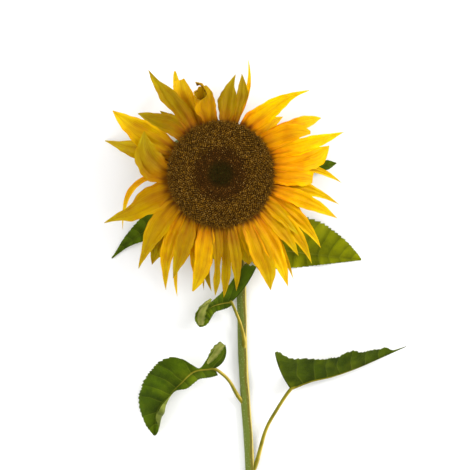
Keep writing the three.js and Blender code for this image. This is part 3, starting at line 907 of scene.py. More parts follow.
@dataclass(kw_only=True)
class Leaf(Piece):
    """Toothed leaf on a long stalk, folded along its midrib and waved at its edges.

    `light` is how much more of the bright green the blade has, at even steps from base to tip.
    `veins` and `teeth` count those along one edge, `tooth` is how deep a tooth is cut, as a share of
    the reach, and ruffle, ripple and quilting are heights of waves in millimetres.
    """

    slot: str = "leaf"
    stalk: tuple[Place, ...]
    stalk_radius: tuple[float, float]
    stalk_steps: int = 60
    stalk_sides: int = 16
    midrib: tuple[Place, ...]
    midrib_steps: int = 70
    midrib_sides: int = 10
    left: HalfBlade
    right: HalfBlade
    greens: Greens = DARK_LEAF
    light: tuple[float, ...] = (0.0, 0.0)
    rolls: tuple[Roll, ...] = ()
    veins: float = 8.0
    teeth: int = 26
    tooth: float = 0.06
    ruffle: float = 1.6
    waves: float = 3.2
    rows: int = 150
    columns: int = 52
    thickness: float = 0.55
    quilting: float = 0.55
    ripple: float = 0.5
    seed: int = 1
    stalk_brown: Colour = linear(128, 120, 30)
    # Painted light on the side of the stalk and midrib towards the key lamp.
    stalk_lit_side: Colour = linear(226, 196, 92)
    roll_pale: Colour = linear(162, 158, 84)

    def blade(self) -> Array:
        """Grid of points of the blade.

        Each point lies out from the midrib along a side vein. The vein is an arc in the upright
        plane: it leaves at `tilt` and turns by `curl`, so its level part is
        reach (sin(tilt + curl out) - sin tilt) / curl and its rise reach (cos tilt - cos(...)) / curl.
        The edge is waved, notched into teeth, and the sheet is quilted between its veins.

        Returns:
            Points, one row for each step from base to tip.
        """
        u, v = grid(self.rows, self.columns)
        out = np.abs(v)
        right = v < 0

        def of(side: str) -> Array:
            """Value of one property at each point, from the half the point lies in."""
            return np.where(right, smooth(getattr(self.right, side), u), smooth(getattr(self.left, side), u))

        ahead = unit(slope(self.midrib, u) * (1.0, 1.0, 0.0))
        aside = np.cross(UP, ahead) * np.where(right, -1.0, 1.0)[..., None]
        slant = np.radians(of("slant") + (1.0 - out) * of("sweep"))
        start = np.radians(of("tilt"))
        bend = np.radians(of("curl"))
        least = 1e-4
        bend = np.where(np.abs(bend) < least, least, bend)
        cycle = (u * self.teeth + 0.37 * np.sin(u * 19.0 + self.seed)) % 1.0
        notch = 1.0 - self.tooth * (1.0 - cycle) * step(0.86, 1.0, out) * step(0.0, 0.06, u)
        reach = of("reach") * notch
        level = (np.sin(start + bend * out) - np.sin(start)) / bend
        rise = (np.cos(start) - np.cos(start + bend * out)) / bend
        phase = np.where(right, 2.0, 0.0)
        fade = np.sin(np.pi * u)
        wave = self.ruffle * out**2 * np.sin(u * TURN * self.waves + phase)
        small = self.ripple * out**3 * np.sin(u * TURN * self.waves * 3.1 + phase + self.seed)
        between = np.abs(np.sin(np.pi * u * self.veins))
        quilt = self.quilting * between * np.sin(np.pi * np.clip(out * 1.05, 0, 1))
        height = reach * rise + (wave + small + quilt) * fade
        course = ahead * np.cos(slant)[..., None] + aside * np.sin(slant)[..., None]
        return smooth(self.midrib, u) + (reach * level)[..., None] * course + UP * height[..., None]

    def stalk_rings(self) -> Array:
        """Grid of points of the stalk: a round tube with a shallow groove along its top.

        Returns:
            Points, one row for each ring from the stem to the blade.
        """
        onto = smooth(self.midrib, np.array([0.07]))[0]
        u = np.linspace(0.0, 1.0, self.stalk_steps)
        end = step(0.82, 1.0, u)
        line = smooth([*self.stalk, tuple(onto)], u) - UP * 0.5 * end[:, None]
        thick, thin = self.stalk_radius
        radii = (thick + (thin - thick) * np.minimum(1.0, 2.5 * u)) * (1 - 0.36 * end)
        a = np.arange(self.stalk_sides) * TURN / self.stalk_sides
        groove = 1.0 - 0.2 * np.exp(-(((a - math.pi) / 0.45) ** 2))
        rings = tube_rings(line, radii, self.stalk_sides, groove[None])
        rings[..., 2] = np.maximum(rings[..., 2], LOWEST)
        return rings

    def rib_rings(self) -> Array:
        """Grid of points of the midrib, a thin tapered ridge sunk under the blade.

        Returns:
            Points, one row for each ring from base to tip.
        """
        u = np.linspace(0.0, 0.97, self.midrib_steps)
        line = smooth(self.midrib, u) - UP * 0.35
        finest = 0.25
        radii = finest + (0.75 * self.stalk_radius[1] - finest) * (1.0 - u) ** 1.2
        rings = tube_rings(line, radii, self.midrib_sides)
        rings[..., 2] = np.maximum(rings[..., 2], LOWEST)
        return rings

    def shades(self, blade: Array) -> Array:
        """Greens of the blade's upper face: bright where it faces the light, darker at the midrib.

        Args:
            blade: Points of the blade.

        Returns:
            A colour for each point.
        """
        u, v = grid(self.rows, self.columns)
        clouds = 0.1 * np.sin(9 * u + np.random.default_rng(self.seed).uniform(0, 6))
        bright = 0.5 * facing(blade)[..., 0] + 0.2 + clouds + smooth(self.light, u)
        over = mixed(self.greens.over, self.greens.bright, np.clip(bright, 0.0, 1.0))
        over = over * (1 - 0.35 * np.exp(-((v / 0.3) ** 2)))[..., None]
        return mixed(over, self.greens.under, 0.35 * step(0.93, 1.0, np.abs(v)))

    def add_roll(self, skin: Skin, roll: Roll) -> None:
        """Adds a rolled edge. Its places have v past 2, where the veins group draws nothing.

        Args:
            skin: Mesh that takes it.
            roll: The rolled edge.
        """
        u, v = grid(roll.rows, roll.columns)
        pale = mixed(self.roll_pale, self.greens.under, 0.5 + 0.5 * np.sin(8 * v + 2 * u))
        pale = mixed(pale, self.greens.over, 0.8 * np.abs(v) ** 3)
        skin.add_shell(roll.surface(), self.thickness, pale, self.greens.over)
        skin.places[-1] = skin.places[-1] * (1.0, 0.5) + (0.0, 2.5)

    def fill(self, skin: Skin) -> None:
        """Adds the blade with its rolled edges, the stalk and the midrib.

        Args:
            skin: Mesh that takes the piece.
        """
        blade = self.blade()
        v = grid(self.rows, self.columns)[1]
        thickness = self.thickness * (1.0 - 0.4 * np.abs(v) ** 3)
        skin.add_shell(blade, thickness, self.shades(blade), np.array(self.greens.under))
        for roll in self.rolls:
            self.add_roll(skin, roll)
        for rings, share in ((self.stalk_rings(), 1.0), (self.rib_rings(), 0.6)):
            # Painted light: the side of the stalk and of the midrib that faces +x, towards the key lamp, is
            # pale.
            aside = unit(rings - rings.mean(axis=1, keepdims=True))[..., 0]
            skin.add_tube(rings, mixed(self.stalk_brown, self.stalk_lit_side, share * step(0.1, 0.75, aside)))


LEAVES = (
    Leaf(
        node="leaf_lower_left",
        title="leaf_lower_left_toothed",
        stalk=((26, -236, 5), (17.5, -225, 8), (9.6, -210.5, 15), (2, -202, 20), (-7, -196, 24.5)),
        stalk_radius=(2.4, 1.7),
        midrib=(
            (-7, -196, 24.5), (-27, -199, 27), (-41, -212, 25),
            (-53, -225, 20), (-65, -241, 13), (-68, -266, 3),
        ),
        right=HalfBlade(
            reach=(36, 27, 4, 7, 25, 32, 33, 33, 34, 34, 32, 30, 24, 17.5, 12.5, 6.5, 1),
            slant=(123, 110, 108, 96, 88, 84, 80, 77, 74, 70, 66, 62, 58, 52, 46, 38, 30),
            tilt=(28, 24, 10, 0, -10, -14, -16, -14, 0),
            curl=(20, 20, 10, 0, -14, -20, -20, -10, 0),
            sweep=(46, 12, 0, 0, 0, 0, 0, 0, 0),
        ),
        left=HalfBlade(
            reach=(11, 13.5, 15, 14.5, 13, 10.5, 8, 4.5, 2.5, 3, 6.5, 15, 26, 24, 18, 7, 1),
            slant=(112, 116, 96, 84, 80, 84, 80, 70, 40),
            tilt=(-30, -34, -30, -10, 10, 20, 22, 20, 0),
            curl=(-20, -16, -14, 20, 100, 130, 130, 120, 0),
        ),
        rolls=(
            Roll(
                crest=((-13, -190.5, 33), (-7.6, -182.2, 37.5), (-3, -175.3, 43.5), (2.5, -169.5, 47)),
                half=(0.8, 4.2, 4.6, 3.4),
            ),
        ),
        teeth=34,
        seed=11,
    ),
    Leaf(
        node="leaf_lower_right",
        title="leaf_lower_right_toothed",
        stalk=((28, -309, 5), (36, -296, 6), (46, -261, 8), (57.5, -239, 11), (71.5, -218, 14)),
        stalk_radius=(2.8, 1.8),
        midrib=(
            (71.5, -218, 14), (92, -210, 14), (114, -205, 13),
            (138, -197, 12), (162, -187, 10), (190, -175, 6),
        ),
        left=HalfBlade(
            reach=(
                59, 59, 48, 41, 38, 34, 31, 29, 28, 28, 26, 25, 27,
                27, 26, 21, 19, 18, 16, 13, 12, 6, 2, 1.4, 1,
            ),
            slant=(92, 89, 81, 76, 74, 67, 62, 50, 24),
            tilt=(34, 35, 36, 36, 36, 34, 30, 20, 6),
            curl=(16, 14, 10, 6, 4, 6, 10, 10, 0),
        ),
        right=HalfBlade(
            reach=(18, 19, 17, 16, 15, 14, 10, 5, 1),
            slant=(100, 94, 84, 78, 74, 68, 60, 46, 24),
            tilt=(-150, -152, -154, -155, -156, -156, -156, -158, -164),
            curl=(-12, -12, -10, -8, -8, -8, -6, 0, 0),
        ),
        greens=DEEP_LEAF,
        light=(1.0, 0.5, 0.1, 0.1, 0.2, 0.1, 0.2, 0.3, 0.2),
        teeth=30,
        seed=12,
    ),
    Leaf(
        node="leaf_middle",
        title="leaf_middle_toothed",
        stalk=((23.4, -180, 5), (23.8, -167, 10.5), (20.8, -153, 13.5), (16.7, -142, 16), (11, -129, 18.5)),
        stalk_radius=(2.5, 1.5),
        midrib=((11, -129, 18.5), (1.5, -130, 21), (-8.5, -133, 24), (-17, -140, 20), (-21, -154, 8)),
        right=HalfBlade(
            reach=(45, 43, 20, 14, 13, 13, 14, 15, 14, 12, 9, 5, 1),
            slant=(131, 118, 108, 100, 94, 88, 82, 76, 68, 60, 50, 40, 30),
            tilt=(4, 16, 34, 40, 30, 10, 0),
            curl=(0, 0, 30, 60, 60, 30, 0),
        ),
        left=HalfBlade(
            reach=(3, 8, 10, 10, 12, 10, 1),
            slant=(110, 100, 92, 90, 80, 60, 30),
            tilt=(-24, -30, -36, -40, -36, -26, 0),
            curl=(-10, -20, -20, -10, 0, 0, 0),
        ),
        light=(-0.3, -0.2, 0.1, 0.4, 0.6),
        rolls=(
            Roll(
                crest=((-9.5, -125, 36.5), (-17, -134, 31), (-20.6, -143.8, 22), (-20, -152.4, 12.5)),
                half=(0.8, 3.6, 5.2, 3.6),
            ),
        ),
        veins=6.0,
        teeth=18,
        rows=120,
        columns=40,
        seed=13,
    ),
    Leaf(
        node="leaf_upper_right",
        title="leaf_upper_right_toothed",
        stalk=((20, -99, 5), (27, -91, 8), (34, -84, 9), (42.5, -79, 8)),
        stalk_radius=(2.4, 1.5),
        midrib=((42.5, -79, 8), (66, -77, 7), (92, -80, 5.5), (118, -83, 3.5), (144, -86, 1)),
        left=HalfBlade(
            reach=(26, 32, 37, 38, 35, 28, 20, 11, 1),
            slant=(136, 108, 90, 80, 74, 66, 58, 56, 30),
            tilt=(-6, -4, 0, 2, 4, 4, 4, 2, 0),
            curl=(0, 0, -6, -12, -14, -14, -10, -4, 0),
        ),
        right=HalfBlade(
            reach=(14, 19, 20, 17, 13, 10, 7, 4, 1),
            slant=(136, 112, 96, 84, 76, 68, 58, 48, 30),
            tilt=(-16, -20, -22, -22, -20, -18, -14, -8, 0),
            curl=(0, 0, 6, 10, 12, 14, 12, 6, 0),
        ),
        greens=SUNNY_LEAF,
        veins=9.0,
        seed=14,
    ),
    Leaf(
        node="leaf_upper_left",
        title="leaf_upper_left_toothed",
        stalk=((14, -50, 5), (3, -50, 8), (-16, -45, 10), (-36, -44, 9)),
        stalk_radius=(2.2, 1.3),
        midrib=((-36, -44, 9), (-56, -49, 9), (-77, -57, 7), (-96, -69, 4), (-111.5, -84, 1)),
        left=HalfBlade(
            reach=(12, 14, 14, 11, 8, 5, 3, 1),
            slant=(130, 104, 88, 78, 70, 60, 44, 30),
            tilt=(-10, -12, -14, -14, -12, -8, -4, 0),
            curl=(0, 0, 0, 8, 8, 4, 0, 0),
        ),
        right=HalfBlade(
            reach=(12, 17, 19, 16, 11, 7, 3.5, 1),
            slant=(130, 104, 88, 78, 70, 60, 44, 30),
            tilt=(6, 8, 10, 10, 8, 4, 0, 0),
            curl=(0, -8, -14, -16, -14, -8, 0, 0),
        ),
        teeth=20,
        rows=110,
        columns=40,
        seed=15,
    ),
    Leaf(
        node="leaf_top_right",
        title="leaf_top_right_toothed",
        stalk=((9.5, -30, 6), (15, -23, 9), (24, -16, 11), (34, -10, 11)),
        stalk_radius=(2.0, 1.2),
        midrib=((34, -10, 11), (52, -4, 12), (74, 2, 11), (96, 7, 9), (118, 13, 6)),
        left=HalfBlade(
            reach=(6, 9, 10, 10, 10, 9, 8, 1),
            slant=(110, 90, 78, 70, 62, 54, 44, 26),
            tilt=(8, 8, 8, 8, 6, 4, 0, 0),
            curl=(0, -10, -20, -20, -16, -10, 0, 0),
        ),
        right=HalfBlade(
            reach=(5, 6, 6, 5, 5, 5, 6, 1),
            slant=(110, 90, 78, 70, 62, 54, 44, 26),
            tilt=(-14, -16, -18, -18, -14, -10, 0, 0),
            curl=(0, 0, 8, 10, 8, 4, 0, 0),
        ),
        teeth=18,
        rows=100,
        columns=36,
        seed=16,
    ),
)


# ---- Outlines of petals and bracts ------------------------------------------------------------


@dataclass(frozen=True)
class BladeShape:
    """Outline of a petal or bract: its claw's share of the width, where it is widest, its tip."""

    claw: float
    belly: float
    point: float

    def share(self, u: Array) -> Array:
        """Half width at u as a share of the widest.

        It swells as a quarter sine from the claw to the belly, then falls as 1 - t^point.

        Args:
            u: Places along the blade, 0 at its root and 1 at its tip.

        Returns:
            A share for each place.
        """
        swell = self.claw + (1 - self.claw) * np.sin(np.pi / 2 * np.minimum(u / self.belly, 1.0))
        t = np.clip((u - self.belly) / (1 - self.belly), 0.0, 1.0)
        return np.where(u < self.belly, swell, np.maximum(0.02, 1 - t**self.point))


class Outline(Enum):
    """The kinds of petal."""

    LANCE = BladeShape(0.42, 0.45, 1.55)
    SPEAR = BladeShape(0.5, 0.32, 1.05)
    BROAD = BladeShape(0.5, 0.6, 2.6)
    PADDLE = BladeShape(0.4, 0.66, 1.7)
    STRAP = BladeShape(0.7, 0.5, 2.0)
    OVATE = BladeShape(0.6, 0.25, 1.8)


class Tone(Enum):
    """Colours of a petal at its root, in its middle and at its tip.

    The bright tones sit mostly on the petals towards +x, the side the light comes from, and the
    darker ones on the rest: partly the petals' own colour and partly painted shade.
    """

    FLAME = (linear(223, 147, 0), linear(232, 169, 0), linear(242, 200, 0))
    SUN = (linear(224, 146, 0), linear(232, 182, 0), linear(238, 208, 18))
    LEMON = (linear(230, 151, 0), linear(242, 206, 0), linear(240, 210, 14))
    GOLD = (linear(164, 107, 0), linear(212, 173, 0), linear(234, 202, 12))
    AMBER = (linear(216, 153, 0), linear(214, 169, 0), linear(211, 183, 8))
    OCHRE = (linear(176, 124, 0), linear(180, 145, 0), linear(182, 160, 6))
    OLIVE = (linear(174, 116, 0), linear(166, 136, 0), linear(174, 154, 8))
    UMBER = (linear(162, 104, 0), linear(198, 149, 0), linear(216, 181, 12))


LANCE, SPEAR, BROAD, PADDLE, STRAP, OVATE = Outline
FLAME, SUN, LEMON, GOLD, AMBER, OCHRE, OLIVE, UMBER = Tone


# ---- The base of the head, with its bracts -----------------------------------------------------


@dataclass(frozen=True)
class BractRow:
    """Row of equal bracts round the head.

    `turn` is the first one's bearing in degrees. `root`, `knee` and `tip` are the corners of the
    bract's curve, each a distance from the axis and a height over the base's floor.
    """

    count: int
    turn: float
    root: tuple[float, float]
    knee: tuple[float, float]
    tip: tuple[float, float]
    width: float


@dataclass(kw_only=True)
class HeadBase(Piece):
    """Green base that carries the head, with two rows of pointed bracts.

    `profile` is its outline from the neck to the disc, as distances from the axis and heights.
    """

    node: str = "head_base"
    title: str = "bracts_and_base"
    slot: str = "bract"
    floor: float = 28.8
    rows: tuple[BractRow, ...] = (
        BractRow(13, 20, (42, 14), (60, 18.5), (67, -2), 17),
        BractRow(11, 11, (35, 10), (54, 13.5), (60, -9), 16),
    )
    profile: tuple[tuple[float, float], ...] = (
        (0.2, 0), (8.8, 0), (19, 4.2), (32, 8.2), (44, 13.2),
        (51, 17.9), (51, 19.4), (45.7, 19.4), (45.7, 23.4), (0.2, 23.4),
    )
    sides: int = 96
    lobes: int = 24
    lobe_depth: float = 0.006
    bract_rows: int = 26
    bract_columns: int = 12
    hollow: float = 0.16
    nerves: float = 0.25
    thickness: float = 0.6
    shape: BladeShape = BladeShape(0.8, 0.35, 1.3)
    green: Colour = linear(86, 112, 34)
    pale: Colour = linear(138, 152, 72)

    def body(self, skin: Skin) -> None:
        """Adds the base itself: its outline turned round the axis, lightly lobed under the bracts.

        Args:
            skin: Mesh that takes it.
        """
        corners = np.array(self.profile)
        walls = [np.linspace(a, b, 7)[:-1] for a, b in zip(corners[:-1], corners[1:])]
        line = np.concatenate([*walls, corners[-1:]])
        a = np.arange(self.sides) * TURN / self.sides
        radius = line[:, :1] * (1.0 + self.lobe_depth * np.cos(self.lobes * a) * (line[:, 1:] < 18))
        height = np.broadcast_to(line[:, 1:] + self.floor, radius.shape)
        rings = np.stack([radius * np.cos(a), radius * np.sin(a), height], axis=-1)
        skin.add_tube(rings, mixed(self.green, self.pale, np.full(rings.shape[:2], 0.4)))

    def bract(self, skin: Skin, row: BractRow, angle: float, stretch: float) -> None:
        """Adds one bract: a curve from root to tip, hollowed across and pointed.

        Args:
            skin: Mesh that takes it.
            row: The row that it stands in.
            angle: Bearing in radians.
            stretch: How far its tip reaches, as a share of the row's.
        """
        root, knee, tip = (np.array([r, 0.0, z + self.floor]) for r, z in (row.root, row.knee, row.tip))
        tip[0] *= stretch
        u, v = grid(self.bract_rows, self.bract_columns)
        w = u[..., None]
        spine = (1 - w) ** 2 * root + 2 * (1 - w) * w * knee + w**2 * tip
        half = row.width / 2 * self.shape.share(u)
        drop = self.hollow * half * v**2 + self.nerves * np.abs(np.sin(2.5 * np.pi * v)) * (1 - u)
        local = spine + np.stack([np.zeros_like(u), half * v, -drop], axis=-1)
        c, s = math.cos(angle), math.sin(angle)
        turned = local @ np.array([[c, s, 0.0], [-s, c, 0.0], [0.0, 0.0, 1.0]])
        over = mixed(self.green, self.pale, 0.35 * u + 0.3 * np.abs(v) ** 3)
        under = mixed(self.green, self.pale, 0.6 * u)
        skin.add_shell(turned, self.thickness * (1 - 0.5 * v**2), over, under)

    def fill(self, skin: Skin) -> None:
        """Adds the base and all its bracts, none of them placed quite evenly.

        Args:
            skin: Mesh that takes the piece.
        """
        self.body(skin)
        for row in self.rows:
            for k in range(row.count):
                angle = TURN * k / row.count + math.radians(row.turn + 4 * math.sin(7 * k))
                self.bract(skin, row, angle, 1 + 0.08 * math.sin(5 * k + row.turn))


# ---- The ray petals ----------------------------------------------------------------------------


@dataclass(frozen=True)
class Petal:
    """One ray petal, from the rim of the head to its tip.

    `root` and `tip` are bearings round the head in degrees, `reach` and `height` place the tip,
    `layer` is 0 for the lowest and 2 for the top, `lift` raises the arc, `twist` turns it along
    its length, `bow` swings its middle to the left and `knee` moves the bend. An uneven petal has
    `left` and `right`, its half widths at six even steps from root to tip, which then count in place
    of its width and outline.
    """

    root: float
    tip: float
    reach: float
    height: float
    width: float
    layer: int
    lift: float
    twist: float
    bow: float
    outline: Outline
    tone: Tone
    knee: float = 0.5
    left: tuple[float, ...] = ()
    right: tuple[float, ...] = ()


# Each row: root, tip, reach, height, width, layer, lift, twist, bow, outline, tone and knee.
PETALS = (
    Petal(131, 133, 88, 30, 14, 0, 0, -10, -1, LANCE, OCHRE),
    Petal(80, 83, 86, 34, 14, 0, 2, 6, 0, BROAD, UMBER),
    Petal(-84, -83, 88, 30, 20, 0, 3, 8, 0, BROAD, OCHRE),
    Petal(-93, -93, 86, 30, 18, 0, 3, -6, 0, BROAD, OCHRE),
    Petal(-101, -101, 87, 30, 18, 0, 3, 6, 0, BROAD, OCHRE),
    Petal(175, 172, 78, 36, 18, 0, 2, 6, 0, BROAD, UMBER),
    Petal(49, 43.5, 85, 30, 16, 0, -1, 8, 1, LANCE, SUN),
    Petal(76, 76.8, 123.8, 0, 4.4, 0, 2, 20, -7, STRAP, SUN),
    Petal(
        113, 111.2, 104.9, 30, 25, 0, 4, 4, 0, BROAD, UMBER,
        left=(7, 8, 12, 14.4, 14.4, 9), right=(6, 5.5, 4.4, 4.7, 3.3, 1),
    ),
    Petal(
        118, 113.9, 116.8, 2, 6, 0, -2, 10, 4.8, STRAP, AMBER,
        left=(3, 3, 3, 3, 3, 0.8), right=(3, 3, 3, 3.4, 4.6, 1),
    ),
    Petal(43, 29.9, 120.2, 0, 13, 0, 3, 10, 2, BROAD, FLAME),
    Petal(4, -3.6, 123, 24, 7.5, 0, 3, 20, 9.5, STRAP, SUN),
    Petal(9, 9, 95, 42, 16, 1, 3, -8, 1, LANCE, FLAME),
    Petal(-8, -13.8, 122.6, 34, 17, 1, 4, 8, 4.5, SPEAR, LEMON),
    Petal(-21, -27, 96, 36, 15, 1, 3, -16, 2, LANCE, FLAME),
    Petal(-26, -35.7, 124.6, 28, 14, 0, 3, 14, 6.5, LANCE, SUN),
    Petal(-36, -44, 127.8, 32, 14, 1, 4, 16, 7.5, LANCE, SUN),
    Petal(-44, -54.9, 128.4, 28, 8, 0, 3, 20, 3.5, LANCE, SUN),
    Petal(-50, -58.8, 132, 38, 18, 1, 5, -8, 3.5, LANCE, SUN),
    Petal(-66, -68, 104, 30, 14, 0, 3, -14, 0, LANCE, AMBER),
    Petal(-72, -72, 94, 38, 17, 1, 4, 8, 1, BROAD, AMBER),
    Petal(-88, -88.4, 123, 36, 9.5, 1, 4, 12, 3.2, PADDLE, OCHRE),
    Petal(-103, -94.5, 118, 34, 11, 0, 3, 10, -5.5, LANCE, OCHRE),
    Petal(-103, -98.2, 117, 29, 7, 0, 2, 24, -3, LANCE, OCHRE),
    Petal(-120, -109.6, 129.9, 26, 7, 0, 2, 30, -9, STRAP, SUN),
    Petal(-114, -104.1, 107, 32, 13, 0, 3, -8, -2, LANCE, SUN),
    Petal(
        -107, -103.6, 120.2, 40, 20, 1, 5, 6, 2.5, LANCE, AMBER,
        left=(5, 9, 11, 11, 8.5, 1), right=(5, 8, 8, 6, 4, 0.3),
    ),
    Petal(
        -142, -127.8, 113.1, 30, 22, 0, 2, -12, -5, LANCE, OCHRE,
        left=(6, 9, 11, 11, 8.5, 0.3), right=(6, 9, 10, 9, 5, 0.3),
    ),
    Petal(-136, -115.4, 127.2, 36, 15, 1, 4, 14, -7.5, LANCE, AMBER),
    Petal(181.8, -151, 113, 24, 6, 0, 2, 26, -20.6, STRAP, SUN, 0.424),
    Petal(
        167, 162.9, 123.6, 0, 21, 0, 5, -8, -1, LANCE, OCHRE,
        left=(6.6, 9.1, 9.7, 8.2, 4.5, 0.3), right=(7, 8.5, 9.4, 8.6, 3.2, 0.3),
    ),
    Petal(159, 156, 92, 40, 15, 1, 3, 10, 1, LANCE, UMBER),
    Petal(
        152, 149.2, 125, 48, 23, 1, 6, -16, 1.5, LANCE, GOLD,
        left=(5, 10, 14, 13.5, 8.5, 0.3), right=(4.8, 9.1, 11.4, 10, 5.8, 0.3),
    ),
    Petal(
        123, 124.5, 128, 44, 23, 2, 5, 8, -2.5, LANCE, OLIVE,
        left=(4.6, 6, 8.1, 10, 6.9, 0.3), right=(6, 8.8, 8.4, 6, 1, 0.3),
    ),
    Petal(
        84, 81.4, 101, 46, 20, 1, 4, -10, 1, LANCE, OLIVE,
        left=(5, 8.1, 10.9, 10.5, 5.2, 0.3), right=(7, 8, 7.5, 6.2, 1.6, 0.3),
    ),
    Petal(
        77, 78, 103.3, 44, 12, 2, 3, 14, -3.5, PADDLE, OLIVE,
        left=(4, 3.4, 3.4, 4.7, 3.3, 0.3), right=(6, 4.3, 4.4, 6.7, 4.5, 0.3),
    ),
    Petal(
        61, 43.5, 122.2, 48, 25, 2, 7, -10, 6.5, SPEAR, LEMON,
        left=(7.6, 10.2, 7.7, 5.8, 2.9, 0.3), right=(8, 10.7, 12.4, 7.9, 3.1, 0.3),
    ),
    Petal(
        102, 99.9, 89.3, 63, 20, 2, 13, 8, -1, BROAD, UMBER,
        left=(6, 8, 13.1, 13.9, 12.4, 7), right=(6.6, 7.2, 7.4, 6.5, 5.8, 1.5),
    ),
    Petal(
        36, 24.8, 99.5, 50, 20, 2, 7, -14, 4, LANCE, FLAME,
        left=(8, 9, 10, 10.5, 8.5, 2), right=(8, 9, 9.5, 9, 5, 1),
    ),
    Petal(23, 19.3, 130.8, 36, 16, 1, 4, 8, -1.5, LANCE, LEMON),
    Petal(
        14, 15, 112.5, 38, 17, 2, 5, 10, -5, PADDLE, FLAME,
        left=(6, 8, 8, 6.5, 5, 0.3), right=(7, 9, 10.5, 13, 14, 0.3),
    ),
    Petal(
        -1, -2.5, 93, 50, 20, 2, 6, -10, 1, BROAD, FLAME,
        left=(8, 9, 9, 9, 8.5, 6), right=(8, 9, 10, 10, 9, 5),
    ),
    Petal(-16, -20.3, 124.9, 40, 16, 2, 6, 12, 3, LANCE, SUN),
    Petal(-31, -38, 97, 46, 14, 2, 6, -18, 2, LANCE, AMBER),
    Petal(-41, -46.1, 113.2, 40, 15, 2, 6, -14, 3.5, LANCE, AMBER),
    Petal(
        -59, -66.4, 125.8, 40, 22, 2, 6, 8, 3, LANCE, AMBER,
        left=(5, 9, 11.5, 11.5, 8, 0.3), right=(5, 9, 10.9, 9.5, 5.5, 0.3),
    ),
    Petal(-80, -82.2, 118, 40, 12, 2, 6, -10, 3, LANCE, OCHRE),
    Petal(
        -97, -92.6, 120.9, 42, 12, 2, 6, -8, 2.5, LANCE, OCHRE,
        left=(4, 5.5, 5, 2.8, 3.6, 0.3), right=(4, 5, 4, 2.8, 3.4, 0.3),
    ),
    Petal(-126, -114.7, 114.1, 44, 18, 2, 6, -10, 1, LANCE, OCHRE),
    Petal(
        -149, -131.2, 123.8, 40, 23, 2, 6, 8, -5, LANCE, OCHRE,
        left=(7, 10, 11, 9, 4.5, 0.3), right=(7, 10, 10.5, 7.5, 3.5, 0.3),
    ),
    Petal(
        -161, -157.4, 127, 42, 29, 2, 6, -8, -1.5, SPEAR, OCHRE,
        left=(8, 13, 13, 12.4, 5.6, 0.3), right=(8, 13.6, 11.5, 3.9, 2.3, 0.3),
    ),
    Petal(
        180, 150.4, 87, 58, 32, 2, 8, 12, 11, OVATE, OLIVE,
        left=(10, 14.2, 16.2, 12.5, 6.2, 0.3), right=(7.4, 11, 12.4, 11.5, 8, 0.6),
    ),
    Petal(
        131, 143.8, 101.2, 46, 25, 2, 4, 14, -3, BROAD, OLIVE,
        left=(6, 8.7, 7.9, 9.3, 5.6, 0.4), right=(6.6, 9.4, 11.7, 8.6, 5.6, 0.4),
    ),
)


@dataclass(frozen=True)
class Scroll:
    """End of a petal that has rolled into an upright scroll, open upwards like a funnel.

    `heart` is the foot of its axis and `radii` its radius at even steps along the spiral, whose
    bearings go from `start` by `turn`, clockwise, in degrees.
    """

    heart: Place = (-20.2, 79.4, 60.5)
    radii: tuple[float, ...] = (9.4, 6.4, 5.2, 5.4, 5.0, 4.6, 4.4, 3.2)
    height: float = 11.0
    start: float = 112.0
    turn: float = 345.0
    rows: int = 64
    columns: int = 6
    thickness: float = 0.5
    # Painted shade at the scroll's foot, down inside its turn.
    brown: Colour = linear(120, 82, 4)
    gold: Colour = linear(206, 166, 24)

    def surface(self) -> Array:
        """Grid of points: a spiral of nearly one turn, from a pointed flap to its heart, creased.

        Returns:
            Points, one row for each step from the flap to the heart.
        """
        u, v = grid(self.rows, self.columns)
        x, y, low = self.heart
        turn = np.radians(self.start - self.turn * u)
        creases = 0.08 * np.sin(23 * u) + 0.05 * np.sin(57 * u + 2 * v)
        radius = smooth(self.radii, u) * (1 + 0.16 * (v + 1) + creases)
        tall = self.height * (0.3 + 0.7 * step(0.0, 0.2, u)) * (1 + 0.12 * np.sin(9 * u))
        height = low + 0.5 * tall * (v + 1)
        return np.stack([x + radius * np.cos(turn), y + radius * np.sin(turn), height], axis=-1)

    def add_to(self, skin: Skin) -> None:
        """Adds the scroll to a skin, brown at its foot as painted shade down in the scroll, and golden at
        its rim.

        Args:
            skin: Mesh that takes it.
        """
        u, v = grid(self.rows, self.columns)
        # Painted shade: the wall is brown at its foot, down in the scroll, and golden at its rim.
        rim = mixed(self.brown, self.gold, step(-0.4, 1.0, v + 0.3 * np.sin(17 * u)))
        skin.add_shell(self.surface(), self.thickness, rim, rim * 0.7)


